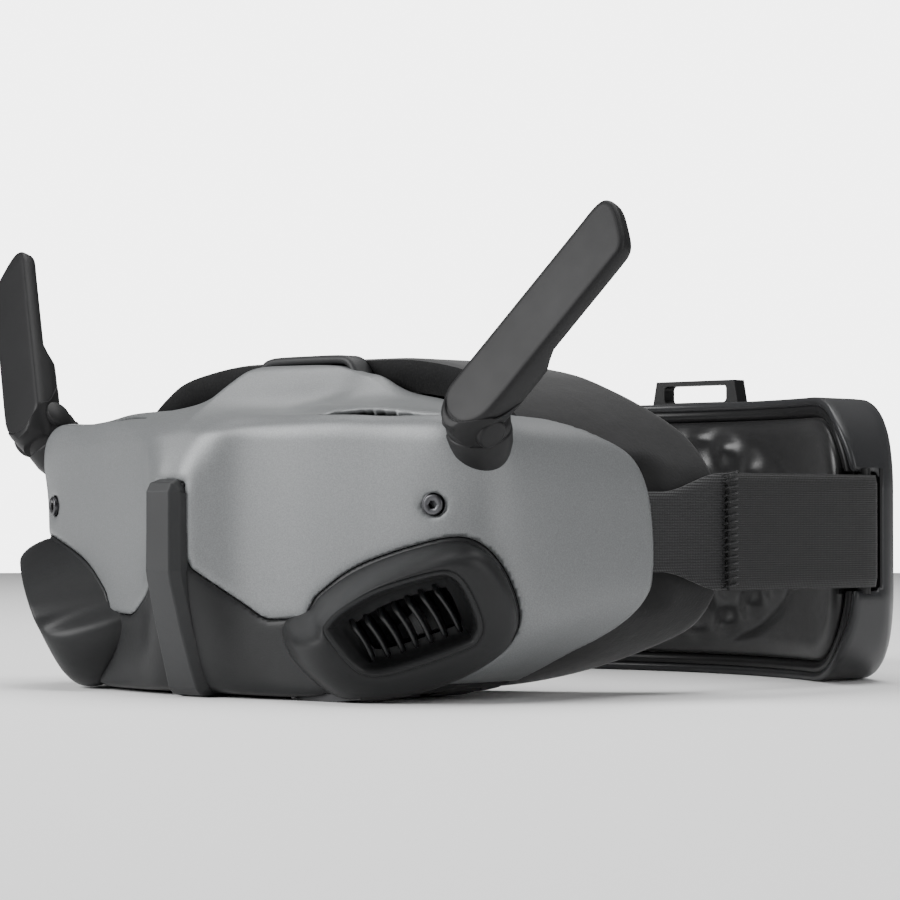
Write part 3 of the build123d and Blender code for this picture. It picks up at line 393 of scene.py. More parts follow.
def leather(name, colour, roughness, grain_mm, depth):
    """Soft synthetic leather: pebbled grain with a low sheen."""
    m, shader = material(name, colour, roughness, sheen=0.15, sheen_roughness=0.4, specular=0.45)
    g = Graph(m)
    cell = g.node("ShaderNodeTexVoronoi")
    cell.feature = "DISTANCE_TO_EDGE"
    cell.inputs["Scale"].default_value = 1 / (grain_mm * MM)
    g.link(g.coords, cell.inputs["Vector"])
    g.link(g.ramp(g.noise(8, 4), 0.3, 0.7, scaled(colour, 0.85), scaled(colour, 1.25)),
           shader.inputs["Base Color"])
    g.link(g.range(g.noise(3, 4), roughness - 0.06, roughness + 0.08), shader.inputs["Roughness"])
    first = g.bump(cell.outputs["Distance"], depth, 0.5)
    g.link(g.bump(g.noise(0.2, 2), 0.01, 0.6, first), shader.inputs["Normal"])
    return m


def webbing(name, colour, rib_mm, depth, roughness, cross_mm, sheen):
    """Woven band: ribs along it, with a finer thread across them."""
    m, shader = material(name, colour, roughness, sheen=sheen, sheen_roughness=0.45, specular=0.35)
    g = Graph(m)
    ribs = g.node("ShaderNodeTexWave")
    ribs.bands_direction = "Z"
    ribs.inputs["Scale"].default_value = WAVE / (rib_mm * MM)
    ribs.inputs["Distortion"].default_value = 0.6
    ribs.inputs["Detail"].default_value = 1.0
    g.link(g.coords, ribs.inputs["Vector"])
    threads = g.node("ShaderNodeTexWave")
    threads.bands_direction = "Y"
    threads.inputs["Scale"].default_value = WAVE / (cross_mm * MM)
    threads.inputs["Distortion"].default_value = 0.4
    g.link(g.coords, threads.inputs["Vector"])
    # the ribs' colour follows their height: painted shade darkens the grooves and a painted highlight
    # lightens the crests
    g.link(g.ramp(ribs.outputs["Fac"], 0.1, 0.9, scaled(colour, 0.55), scaled(colour, 1.35)),
           shader.inputs["Base Color"])
    first = g.bump(ribs.outputs["Fac"], depth, 0.8)
    second = g.bump(threads.outputs["Fac"], depth * 0.5, 0.6, first)
    g.link(g.bump(g.noise(0.3, 3), 0.04, 0.6, second), shader.inputs["Normal"])
    return m


GREY = shell_paint()
DARK = plastic("fascia_plastic", (0.017, 0.0174, 0.018), 0.42, 0.42, 0.02, 0.18, specular=0.18)
BAR = plastic("bar_plastic", (0.027, 0.0277, 0.0287), 0.46, 0.5, 0.014, 0.14, specular=0.25)
ANTENNA = plastic("antenna_plastic", (0.014, 0.014, 0.0146), 0.44, 0.3, 0.012, 0.14, specular=0.16)
BLACK = plastic("black_plastic", (0.009, 0.009, 0.0095), 0.36, 0.4, 0.012, 0.2, specular=0.25)
DEEP = plastic("vent_plastic", (0.008, 0.008, 0.009), 0.38, 0.5, 0.01, 0.2)
CASE = plastic("case_plastic", (0.024, 0.0245, 0.026), 0.32, 0.4, 0.012, 0.14, specular=0.3)
BUTTON = plastic("button_plastic", (0.07, 0.07, 0.075), 0.5, 0.3, 0.01, 0.1)
RUBBER = plastic("cover_rubber", (0.028, 0.028, 0.030), 0.62, 0.35, 0.02, 0.2, specular=0.35)
SCREW = metal("screw_steel", (0.08, 0.08, 0.085), 0.34)
STEEL = metal("rod_steel", (0.6, 0.6, 0.62), 0.22)
ALUMINIUM = metal("heat_sink_alloy", (0.55, 0.56, 0.58), 0.38)
PLATED = metal("connector_plating", (0.72, 0.72, 0.74), 0.2)
FOIL = metal("cell_foil", (0.16, 0.3, 0.46), 0.35, 2.0)
SHIELD_CLOTH = knit("shield_knit", (0.006, 0.006, 0.0065), 0.55, 0.05, 0.7, 0.12)
CUSHION = leather("cushion_leather", (0.006, 0.006, 0.0065), 0.36, 0.9, 0.03)
PAD = leather("pad_leather", (0.008, 0.008, 0.0085), 0.5, 1.0, 0.05)
RIBBED = webbing("strap_ribbed", (0.012, 0.012, 0.013), 0.62, 0.14, 0.7, 0.5, 0.12)
MESH = webbing("strap_mesh", (0.007, 0.007, 0.0075), 0.5, 0.07, 0.6, 0.55, 0.08)


def board_material():
    """Solder mask with faint copper tracks under it."""
    m, shader = material("circuit_board", (0.015, 0.13, 0.06), 0.32, specular=0.6)
    g = Graph(m)
    tracks = g.node("ShaderNodeTexBrick")
    tracks.inputs["Scale"].default_value = 260
    for socket, colour in (("Color1", (0.012, 0.12, 0.055, 1)), ("Color2", (0.02, 0.16, 0.075, 1)),
                           ("Mortar", (0.03, 0.2, 0.09, 1))):
        tracks.inputs[socket].default_value = colour
    g.link(g.coords, tracks.inputs["Vector"])
    g.link(tracks.outputs["Color"], shader.inputs["Base Color"])
    g.link(g.bump(tracks.outputs["Fac"], 0.02), shader.inputs["Normal"])
    return m


def glass_material():
    """Coated lens glass with a faint tint."""
    m, shader = material("lens_glass", (0.75, 0.82, 0.95), 0.03, specular=0.6, coat=0.6)
    shader.inputs["Transmission Weight"].default_value = 0.95
    shader.inputs["IOR"].default_value = 1.49
    g = Graph(m)
    g.link(g.range(g.noise(7, 3), 0.02, 0.05), shader.inputs["Roughness"])
    return m


def light_material():
    """Frosted light pipe."""
    m, shader = material("status_light", (0.75, 0.8, 0.8), 0.3)
    shader.inputs["Transmission Weight"].default_value = 0.4
    g = Graph(m)
    g.link(g.range(g.noise(0.6, 3), 0.25, 0.4), shader.inputs["Roughness"])
    return m


BOARD = board_material()
GLASS = glass_material()
LIGHT = light_material()
PANEL = plastic("display_gloss", (0.006, 0.006, 0.01), 0.1, 0.6, 0.002, 0.2, specular=0.7)

# ---- goggles body surface
# The body is where three outlines meet: from above (x, y), from the front (x, z) and from the side (y, z).
FAR = -60
plan_line = [(0, 2.5), (4.5, 2.7), (9.5, 5.9), (15, 9.2), (22, 11.4), (33, 13.9), (46, 17.4),
             (60, 21.4), (68, 25.6), (72, 31.5), (74.4, 41), (76.2, 56), (77.9, 80), (78, 110)]
front_line = [(0, 74.5), (9, 74.4), (14.4, 73.0), (19.6, 69.0), (26, 64.6), (34, 62.0), (46, 61.0),
              (58, 60.6), (67, 59.6), (73, 55.9), (76.6, 49.6), (78, 42), (78, 28), (76.2, 20.5),
              (71.5, 13.4), (64, 7.2), (55, 2.9), (44, 0.7), (30, 0), (0, 0)]
side_line = [(110, 0), (40, 0), (18, 0.0), (11.5, 1.0), (8.6, 4.5), (5.6, 15), (2.6, 27), (2.4, 38),
             (2.6, 46.2), (4.8, 52.5), (8.0, 59.2), (13, 65.2), (20, 70.0), (28, 72.9), (38, 74.2),
             (50, 74.5), (110, 74.5)]
PLAN = np.concatenate([[(FAR, 2.5)], spline(plan_line, 5), [(FAR, 110)]])
FRONT = np.concatenate([[(FAR, 74.4)], spline(front_line, 5), [(FAR, 0)]])
SIDE = spline(side_line, 5)
core = np.array([0.0, 44.0, 34.0])
vent_centre = np.array([59.0, 16.5, 17.0])
vent_n = np.array([0.70, -0.707, -0.46])
vent_n /= np.linalg.norm(vent_n)
vent_x = np.cross([0, 0, 1], vent_n)
vent_x /= np.linalg.norm(vent_x)
vent_y = np.cross(vent_n, vent_x)
# Outlines in the vent's plane: where the grey shell ends, where the pod starts, and the pod's rim.
vent_seam = spline([(-20.4, -4.9), (-18.9, -0.8), (-16.5, 2.7), (-7.3, 10.8), (4.6, 17.0),
                    (15.0, 20.2), (21.5, 18.4), (26.5, 11.9), (28.9, 2.7), (27.8, -4.7), (23.9, -10.4),
                    (13.1, -15.9), (2.1, -17.8), (-6.9, -17.5), (-13.2, -13.2), (-17.8, -8.5)], 6, True)
vent_outer = spline([(-27, -8), (-19.8, -3.2), (-15.8, 2.2), (-6.8, 9.8), (4.8, 16.2), (15, 19.3),
                     (20.9, 17.6), (25.6, 11.4), (28, 2.6), (26.9, -4.5), (23.4, -10), (14, -16.5),
                     (2, -21), (-9, -22.5), (-20, -19), (-26.5, -14)], 6, True)
vent_rim = spline([(-16.9, -1.5), (-16.0, 0.8), (-13.2, 3.7), (-6.1, 8.2), (5.4, 12.0), (9.7, 11.9),
                   (12.9, 8.5), (15.9, 0.8), (15.3, -3.4), (12.4, -5.9), (-1.0, -11.1), (-7.6, -12.0),
                   (-11.3, -9.8), (-14.8, -5.2)], 6, True)
pod_height = 0.8


def body_value(p):
    """Negative inside the goggles body."""
    x, y, z = np.abs(p[:, 0]), p[:, 1], p[:, 2]
    wing = step(14, 24, x) * (1 - step(34, 64, x)) * step(44, 58, z)
    plan = outline_distance(x, y, PLAN)
    side = outline_distance(y, z, SIDE)
    prow = 0.9 * np.maximum(42 - y, 0) * (1 - step(18, 44, x)) * step(48, 60, z)
    rise = 2.8 * step(29, 54, y) + 1.6 * step(21, 28, y)
    front = outline_distance(x + prow, z - rise * wing, FRONT)
    tuck = (np.stack([x, y, z], 1) - vent_centre) @ vent_n + 3.0
    value = smooth_max(smooth_max(side, plan, 3.0), front, 2.5 + 3.5 * step(15, 45, z))
    return smooth_max(value, tuck, 6.0)


def cast(targets):
    """Distance ratio along each ray from the core to a target where the body's surface lies."""
    low = np.full(len(targets), 0.1)
    high = np.full(len(targets), 1.5)
    ray = targets - core
    for _ in range(8):
        mid = (low + high) / 2
        inside = body_value(core + ray * mid[:, None]) < 0
        low = np.where(inside, mid, low)
        high = np.where(inside, high, mid)
    a = body_value(core + ray * low[:, None])
    b = body_value(core + ray * high[:, None])
    t = low + (high - low) * np.clip(a / np.minimum(a - b, -1e-9), 0, 1)
    c = body_value(core + ray * t[:, None])
    low, a = np.where(c < 0, t, low), np.where(c < 0, c, a)
    high, b = np.where(c < 0, high, t), np.where(c < 0, b, c)
    return low + (high - low) * np.clip(a / np.minimum(a - b, -1e-9), 0, 1)


def vent_uv(p):
    """Place in the vent's plane, seen from the core."""
    ray = np.stack([np.abs(p[:, 0]), p[:, 1], p[:, 2]], 1) - core
    facing = ray @ vent_n
    t = ((vent_centre + pod_height * vent_n - core) @ vent_n) / np.where(facing > 1, facing, 1)
    hit = core + ray * t[:, None] - vent_centre
    ok = facing > 1
    return np.where(ok, hit @ vent_x, 99), np.where(ok, hit @ vent_y, 99)


def normals_of(verts, faces):
    """Vertex normals of a mesh of quads and other polygons."""
    n = np.zeros_like(verts)
    by_size = {}
    for f in faces:
        by_size.setdefault(len(f), []).append(f)
    for size, group in by_size.items():
        g = np.array(group)
        d1 = verts[g[:, 2]] - verts[g[:, 0]]
        d2 = verts[g[:, 3 % size]] - verts[g[:, 1]] if size > 3 else verts[g[:, 2]] - verts[g[:, 1]]
        c = np.cross(d1, d2) if size > 3 else np.cross(verts[g[:, 1]] - verts[g[:, 0]], d1)
        for k in range(size):
            np.add.at(n, g[:, k], c)
    return n / np.maximum(np.linalg.norm(n, axis=1), 1e-9)[:, None]


pitch = 0.95
grid_back = 84
grid_v, skin_f = box_grid((-79, -1, -1), (79, grid_back, 77), pitch)
skin_f = skin_f[~(grid_v[skin_f][:, :, 1] > grid_back - 0.1).all(axis=1)]
vent_u, vent_w = vent_uv(grid_v)
near_vent = vent_u < 90
skin_v = core + (grid_v - core) * cast(grid_v)[:, None]
if (normals_of(skin_v, skin_f) * (skin_v - core)).sum() < 0:
    skin_f = skin_f[:, ::-1]
# a low swelling carries each antenna
swell = 1.5 * bump(np.abs(skin_v[:, 0]), 66.5, 9)
swell = swell * bump(skin_v[:, 1], 25, 10) * bump(skin_v[:, 2], 55, 9)
skin_v = skin_v + normals_of(skin_v, skin_f) * swell[:, None]

# The fascia's upper edge seen from the front (x, z), and the shells' rear edge seen from the side (z, y).
seam_line = np.array([(FAR, 46.7), (4.7, 46.7), (4.7, 38), (5.0, 30.6), (6.4, 28.0), (14, 22.2),
                      (20.6, 17.9), (22.6, 17.3), (30.6, 17.5), (38, 20), (46, 12), (52, 6), (58, 3.4),
                      (64, 3.4), (64, -20), (FAR, -20)])
rear_edge = spline([(-5, 50), (2, 51.5), (8.7, 56.6), (15.1, 67.2), (22, 73.4), (27.6, 74.8),
                    (36, 75.0), (44.8, 73.8), (52.3, 69.9), (56.9, 61.4), (60.4, 52.5), (64, 48.2),
                    (80, 46.5)], 8)
slot_x, slot_y, slot_slant, slot_scale = 46, 24.4, 0.25, 1.031
slot_half_u, slot_half_w = 16.5, 3.1
panel_axis = (-0.985, -0.172, 0)
stick_point, stick_hole = (-73.65, 40, 41), 5.5
back_point, back_hole = (-73.65, 40, 26), 3.6
screw_x, screw_z, screw_hole = 61.7, 41.6, 2.45
cover_y, cover_half_x, cover_half_y = 42, 52.3, 6.3
port_x, port_y, port_half_x, port_half_y = 36.9, 25, 9.8, 9.3
link_x, link_y, link_hole = -34, 25, 2.9


def rounded_box(u, w, half_u, half_w, radius):
    """Signed distance from a rectangle with rounded corners."""
    du, dw = np.abs(u) - half_u + radius, np.abs(w) - half_w + radius
    return np.hypot(np.maximum(du, 0), np.maximum(dw, 0)) + np.minimum(np.maximum(du, dw), 0) - radius


def axis_distance(p, point, direction):
    """Distance from an axis through a point."""
    d = np.array(direction) / np.linalg.norm(direction)
    q = p - np.array(point)
    return np.linalg.norm(q - np.outer(q @ d, d), axis=1)


def slot_uv(x, y):
    """Place in the exhaust slot's own directions: the slot runs beside the shell's front edge."""
    dx, dy = x - slot_x, y - slot_y
    return (dx + slot_slant * dy) / slot_scale, (dy - slot_slant * dx) / slot_scale


def slot_xy(u, w):
    return slot_x + (u - slot_slant * w) / slot_scale, slot_y + (w + slot_slant * u) / slot_scale


def open_fields(p, u, w):
    """Distances from the body's openings, each positive outside its opening."""
    x, y, z = p.T
    ax = np.abs(x)
    tests = [
        (u < 90, outline_distance(u, w, vent_outer) + 1.3),
        (z > 50, rounded_box(*slot_uv(ax, y), slot_half_u, slot_half_w, 3.0)),
        (y < 34, np.hypot(ax - screw_x, z - screw_z) - screw_hole),
        (x < FAR, axis_distance(p, stick_point, panel_axis) - stick_hole),
        (x < FAR, axis_distance(p, back_point, panel_axis) - back_hole),
        (z < 5, rounded_box(x, y - cover_y, cover_half_x, cover_half_y, 3.2)),
        (z < 1.6, rounded_box(x - port_x, y - port_y, port_half_x, port_half_y, 1.5)),
        (z < 10, np.hypot(x - link_x, y - link_y) - link_hole),
    ]
    return [np.where(near, distance, ELSEWHERE) for near, distance in tests]


def round_rim(verts, faces, left, depth):
    """Sinks a skin near its cut edges, so that they look rounded."""
    return verts - normals_of(verts, faces) * (depth * np.exp(-np.maximum(left, 0) / 0.5))[:, None]


def split_skin(name, region, gap, thickness, paint, slot, nodes):
    """One of the body's two shells: the skin where region is positive, with a rounded rim all round."""
    p = skin_v
    rear = np.interp(p[:, 2], rear_edge[:, 0], rear_edge[:, 1]) - p[:, 1]
    field = np.minimum(region - gap, rear)
    for hole in open_fields(p, vent_u, vent_w):
        field = np.minimum(field, hole)
    v, f, left = clip(p, skin_f, field)
    v = round_rim(v, f, left, 0.42)
    solidify(make(name, v, f, paint, "goggles", nodes=nodes, slot=slot), thickness)


seam_d = outline_distance(np.abs(skin_v[:, 0]), skin_v[:, 2], seam_line)
seam_d = np.where(skin_v[:, 1] > 30, np.maximum(seam_d, skin_v[:, 2] - 3.4), seam_d)
vent_seam_d = outline_distance(vent_u, vent_w, vent_seam)
seam_d = np.minimum(seam_d, np.where(near_vent, vent_seam_d, 60))
split_skin("grey_shell", seam_d, 0.1, 1.8, GREY, "shell_grey", ["front_shell"])
split_skin("dark_fascia", -seam_d, 0.12, 1.6, DARK, "shell_dark", ["lower_fascia"])


# ---- vents
def vent_point(u, w, depth):
    """Point at a place in the vent's plane, depth inwards from the lip's crest."""
    return vent_centre + u * vent_x + w * vent_y + (pod_height - depth) * vent_n


def shrink(outline, amount, shift=(0, 0)):
    """Outline pulled in along its own normals, then shifted."""
    tangent = np.roll(outline, -1, 0) - np.roll(outline, 1, 0)
    inward = np.stack([tangent[:, 1], -tangent[:, 0]], 1)
    inward /= np.linalg.norm(inward, axis=1)[:, None]
    area = np.cross(outline, np.roll(outline, -1, 0)).sum()
    return outline + inward * (amount if area < 0 else -amount) + shift


def by_angle(outline, count=168):
    """The outline's points at even angles about its middle."""
    mid_u, mid_w = 0.5, -0.5
    rel = outline - (mid_u, mid_w)
    turn = np.arctan2(rel[:, 1], rel[:, 0])
    a = np.linspace(-math.pi, math.pi, count + 1)[:-1]
    r = np.interp(a, np.sort(turn), np.hypot(*rel.T)[np.argsort(turn)], period=2 * math.pi)
    return np.stack([mid_u + r * np.cos(a), mid_w + r * np.sin(a)], 1)


# The pod's wall climbs from the body's surface to the rim; its first ring is sunk into the fascia.
pod_rings = []
for t in (0, 0.03, 0.08, 0.16, 0.25, 0.35, 0.45, 0.55, 0.65, 0.75, 0.85, 0.93, 1):
    uw = by_angle(vent_outer) * (1 - t) + by_angle(vent_rim) * t
    crown = np.array([vent_point(u, w, 5 * max(0, t - 0.9)) for u, w in uw])
    share = cast(crown) - (0.015 if t == 0 else 0)
    pod_rings.append(core + (crown - core) * (share + (1 - (1 - t) ** 2.2) * (1 - share))[:, None])
pod_v, pod_f = loft(pod_rings)
for side, sign in (("left", 1), ("right", -1)):
    v, f = (pod_v, pod_f) if sign > 0 else mirrored(pod_v, pod_f)
    face_out(make(f"vent_pod_{side}", v, f, DARK, "goggles", nodes=["lower_fascia"], slot="shell_dark"))

# Rings of the tub behind the rim: how far pulled in, how deep, and how far shifted in the plane.
floor_shift = (0.7, -1.8)
tub_steps = [(-0.1, 0.55, (0, 0)), (0.15, 0.1, (0, 0)), (0.55, 0.0, (0, 0)), (0.95, 0.25, (0, 0)),
             (1.3, 0.9, (0, 0)), (1.7, 2.4, (0.3, -0.6)), (2.1, 4.2, (0.5, -1.2)),
             (2.6, 5.6, (0.6, -1.6)), (3.6, 6.4, floor_shift), (5.0, 6.7, floor_shift)]
tub_v, tub_f = loft([np.array([vent_point(u, w, depth) for u, w in shrink(vent_rim, inset, shift)])
                     for inset, depth, shift in tub_steps])
slat_tops = [(-11.4, -1.8), (-8.5, -0.8), (-5.6, 0.6), (-2.7, 2.2), (0.1, 3.6), (2.9, 5.1), (5.8, 6.3)]
slat_lows = [(-6.5, -11.4), (-3.3, -10.5), (-0.2, -9.3), (2.6, -8.2), (5.7, -7.2), (8.6, -5.9),
             (11.7, -4.6)]
slat_parts = []
for (u0, w0), (u1, w1) in zip(slat_tops, slat_lows):
    rings = []
    for k in range(13):
        t = k / 12
        bow = 0.5 * math.sin(math.pi * t)
        u, w = u0 + (u1 - u0) * t + bow, w0 + (w1 - w0) * t + 0.3 * bow
        end = 1 - max(0, 1 - 8 * t) ** 2 - max(0, 8 * t - 7) ** 2
        top = 6.6 - 2.6 * max(end, 0.05) ** 0.5
        section = ((-0.5, 8.4), (-0.42, top + 0.5), (-0.25, top + 0.1), (0, top), (0.25, top + 0.1),
                   (0.42, top + 0.5), (0.5, 8.4))
        rings.append(np.array([vent_point(u + a, w + a * 0.45, depth) for a, depth in section]))
    slat_parts.append(loft(rings, cap_start=True, cap_end=True))
floor_ring = shrink(vent_rim, 4.6, floor_shift)
slat_parts.append(prism(floor_ring, vent_point, 8.2, 9.2))
slat_parts.append(loft([np.array([vent_point(u, w, depth) for u, w in floor_ring]) for depth in (6.7, 9.0)]))
slats_v, slats_f = join(slat_parts)
for side, sign in (("left", 1), ("right", -1)):
    for name, v, f, paint in (("vent_tub", tub_v, tub_f, DARK), ("vent_slats", slats_v, slats_f, DEEP)):
        v, f = (v, f) if sign > 0 else mirrored(v, f)
        face_out(make(f"{name}_{side}", v, f, paint, "goggles", nodes=[f"vent_grille_{side}"],
                      slot="shell_dark"))

# ---- bar on the nose
# Its front line seen from the side (y, z), with its half width at each point.
bar_path = [(3.4, 47.3, 3.3), (1.0, 46.5, 3.7), (0.0, 44.6, 3.8), (0.0, 36, 3.8), (0.0, 27.4, 3.9),
            (0.35, 25.4, 3.9), (3.2, 15, 4.1), (5.9, 6.3, 4.4), (7.4, 1.9, 4.7), (8.6, 0.6, 4.8),
            (11, 0.05, 4.8), (17, 0.05, 4.8)]
bar_rings = []
for k, (y, z, w) in enumerate(bar_path):
    y0, z0, _ = bar_path[max(k - 1, 0)]
    y1, z1, _ = bar_path[min(k + 1, len(bar_path) - 1)]
    ty, tz = y1 - y0, z1 - z0
    size = math.hypot(ty, tz)
    ny, nz = -tz / size, ty / size
    ring = []
    for x, d in ((-w + 0.35, 0), (w - 0.35, 0), (w, 0.25), (w + 1.3, 2.2), (w + 1.9, 7.5), (-w - 1.9, 7.5),
                 (-w - 1.3, 2.2), (-w, 0.25)):
        ring.append((x, y + ny * d, z + nz * d))
    bar_rings.append(np.array(ring))
bar_v, bar_f = loft(bar_rings, cap_start=True, cap_end=True)
bar = face_out(make("nose_bar", bar_v, bar_f, BAR, "goggles", smooth=False, nodes=["lower_fascia"],
                    slot="shell_dark"))
bevel(bar, 0.45, 3, 20, False)

# ---- top exhaust slots
slot_line = spline([(-17.2, 0), (-16, -2.4), (-13, -3.4), (13, -3.4), (16, -2.4), (17.2, 0),
                    (16, 2.4), (13, 3.4), (-13, 3.4), (-16, 2.4)], 6, True)


def slot_point(u, w, z):
    return np.array([*slot_xy(u, w), z])


def grille_point(u, w, z):
    """The grille leans back with the surface that the slot is in."""
    return slot_point(u, w, z + 0.22 * w)


tray = [loft([np.array([slot_point(u, w, z + 0.2 * w) for u, w in shrink(slot_line, inset)])
              for inset, z in ((-0.9, 58.0), (-0.6, 56.4), (0, 55.4), (3.2, 55.0))])]
for u in np.arange(-15.4, 15, 1.9):
    tray.append(prism([(u, -3.6), (u + 0.7, -3.6), (u + 3.2, 3.6), (u + 2.5, 3.6)], grille_point,
                      57.4, 58.7))
tray.append(prism([(-16.5, -0.35), (16.5, -0.35), (16.5, 0.35), (-16.5, 0.35)], grille_point, 57.2, 58.9))
tray_v, tray_f = join(tray)
left_v, left_f = mirrored(tray_v, tray_f)
both_v, both_f = join([(tray_v, tray_f), (left_v, left_f)])
face_out(make("exhaust_trays", both_v, both_f, DEEP, "goggles", smooth=False, nodes=["exhaust_grilles"],
              slot="chassis_black"))


# ---- CAD pieces that keep their own shape
def dress(node, paint, edge):
    """Material, rounded edges and clean shading on a CAD node."""
    smooth_angle = 32
    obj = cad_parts[node]
    obj.data.materials.clear()
    obj.data.materials.append(paint)
    obj.data.polygons.foreach_set("use_smooth", [True] * len(obj.data.polygons))
    obj.data.set_sharp_from_angle(angle=math.radians(smooth_angle))
    if edge:
        bevel(obj, edge, 2, smooth_angle, True)


# ---- antennas
hinge = np.array([70.7, 25.8, 60.7])
wide_dir = np.array([0.83, -0.08, -0.55])
wide_dir /= np.linalg.norm(wide_dir)
long_dir = np.array([0.54, 0.34, 0.77])
long_dir -= wide_dir * (long_dir @ wide_dir)
long_dir /= np.linalg.norm(long_dir)
front_dir = np.cross(wide_dir, long_dir)


def antenna_point(w, run, f):
    return hinge + w * wide_dir + run * long_dir + f * front_dir


# The blade's outline: across, and along from the hinge.
blade_line = spline([(-6.0, 3.0), (-5.7, -0.4), (-3.8, -3.0), (-0.6, -4.2), (2.8, -3.6), (5.4, -1.6),
                     (7.0, 1.4), (7.4, 6), (7.4, 16), (7.4, 30), (7.4, 42), (7.1, 45.2), (5.6, 47.2),
                     (2.4, 49.2), (-0.6, 50.7), (-3.2, 51.2), (-5.2, 50.2), (-6.0, 47.6), (-6.0, 42),
                     (-6.0, 30), (-6.0, 16)], 6, True)


def blade_back(run, f):
    """The blade thickens towards the hinge, where it meets the neck."""
    return f - 3.0 * step(20.5, 15.5, run) * step(4.0, 1.3, f) * step(-3.0, 6.0, run)


blade_steps = ((2.2, 1.35), (1.0, 1.45), (0.35, 1.9), (0.05, 2.6), (0, 3.6), (0, 4.7), (0.12, 5.2),
               (0.4, 5.52), (0.85, 5.68), (1.5, 5.75))
blade = loft([np.array([antenna_point(w, run, blade_back(run, f)) for w, run in shrink(blade_line, inset)])
              for inset, f in blade_steps], cap_start=True, cap_end=True)
around = np.linspace(0, 2 * math.pi, 73)[:-1]


def neck_ring(half_w, half_f, mid_f, power, lift):
    """Squared ring of the neck; lift(w, f) is its place along the antenna."""
    ring = []
    for a in around:
        c, q = math.cos(a), math.sin(a)
        w = 0.6 + half_w * math.copysign(abs(c) ** power, c)
        f = mid_f + half_f * math.copysign(abs(q) ** power, q)
        ring.append(antenna_point(w, lift(w, f), f))
    return np.array(ring)


def cup_rim(w, f):
    """Rim of the neck: low under the blade's front, high behind it."""
    bowl = -3.9 + 0.115 * (w - 0.4) ** 2
    return bowl + (9.0 - bowl) * step(3.4, -1.6, f)


neck_rings = [neck_ring(4.4, 4.0, 0.4, 0.9, lambda w, f: -6.4),
              neck_ring(5.6, 4.6, 0.7, 0.85, lambda w, f: -5.6 + 0.05 * w * w)]
for half_w, half_f, mid_f, power, below in ((6.7, 4.6, 1.5, 0.75, 1.6), (7.1, 4.4, 2.0, 0.66, 0.45),
                                            (6.95, 4.2, 2.0, 0.64, 0.05), (6.6, 3.8, 2.0, 0.64, 0)):
    neck_rings.append(neck_ring(half_w, half_f, mid_f, power, lambda w, f: cup_rim(w, f) - below))
neck = loft(neck_rings, cap_start=True, cap_end=True)

base_point = np.array([69.0, 28.0, 57.0])
base_axis = np.array([0.37, -0.48, 0.79])
base_axis /= np.linalg.norm(base_axis)
base_u = wide_dir - base_axis * (wide_dir @ base_axis)
base_u /= np.linalg.norm(base_u)
base_v = np.cross(base_axis, base_u)
base_rings = []
for r, h in ((6.0, -7), (7.0, -3.0), (7.05, 0.2), (7.0, 0.5), (6.75, 0.7), (6.8, 0.95), (6.85, 2.6),
             (6.6, 3.3), (5.9, 3.8), (4.8, 4.0)):
    base_rings.append(np.array([base_point + h * base_axis
                                + r * (math.cos(a) * base_u + math.sin(a) * base_v) for a in around]))
mount_parts = [loft(base_rings, cap_start=True, cap_end=True)]
for low, high in ((4.7, 7.1), (-7.1, -4.7)):
    rings = []
    for w, r in ((low, 2.9), (low + 0.3, 3.3), (high - 0.5, 3.3), (high - 0.12, 3.1), (high, 2.7)):
        rings.append(np.array([antenna_point(w + 0.3, r * math.sin(a) - 1.2, r * math.cos(a))
                               for a in around]))
    mount_parts.append(loft(rings, cap_start=True, cap_end=True))
mount = join(mount_parts)
for side, sign in (("left", 1), ("right", -1)):
    for name, (v, f), node, body in (("antenna_paddle", blade, "antenna_blade", f"antenna_{side}"),
                                     ("antenna_cup", neck, "antenna_neck", f"antenna_{side}"),
                                     ("antenna_mount", mount, "antenna_base", "goggles")):
        v, f = (v, f) if sign > 0 else mirrored(v, f)
        piece = face_out(make(f"{name}_{side}", v, f, ANTENNA, body, nodes=[f"{node}_{side}"],
                              slot="antenna_dark"))
        piece.data.set_sharp_from_angle(angle=math.radians(50))

# ---- screws on the cheeks
near = np.argsort(np.hypot(skin_v[:, 0] - screw_x, skin_v[:, 2] - screw_z)
                  + 100 * (skin_v[:, 1] > 40))[:12]
screw_y = skin_v[near][:, 1].mean()
screw_n = normals_of(skin_v, skin_f)[near].mean(0)
screw_n /= np.linalg.norm(screw_n)
screw_u = np.cross(screw_n, (0, 0, 1))
screw_u /= np.linalg.norm(screw_u)
screw_w = np.cross(screw_n, screw_u)


def screw_loop(radius, height, sides):
    """Ring of the screw: round, or with the given number of sides."""
    loop = []
    for a in around:
        r = radius / (math.cos(a % (2 * math.pi / sides) - math.pi / sides) if sides else 1)
        loop.append(np.array([screw_x, screw_y, screw_z]) + height * screw_n
                    + r * (math.cos(a) * screw_u + math.sin(a) * screw_w))
    return np.array(loop)


screw_head = ((1.5, -3, 0), (2.15, -0.9, 0), (2.2, 0.35, 0), (2.1, 0.55, 0), (1.9, 0.65, 0),
              (1.15, 0.62, 0), (0.85, 0.5, 6), (0.8, -0.9, 6))
screw_seat = ((2.9, -0.45, 0), (2.5, -0.3, 0), (2.3, -0.9, 0), (2.3, -2.5, 0))
screw_mesh = join([loft([screw_loop(*ring) for ring in screw_head], cap_start=True, cap_end=True),
                   loft([screw_loop(*ring) for ring in screw_seat])])
screw_both = join([screw_mesh, mirrored(*screw_mesh)])
screws = face_out(make("cheek_screws", *screw_both, SCREW, "goggles", nodes=["shell_screws"],
                       slot="steel"))
screws.data.set_sharp_from_angle(angle=math.radians(40))

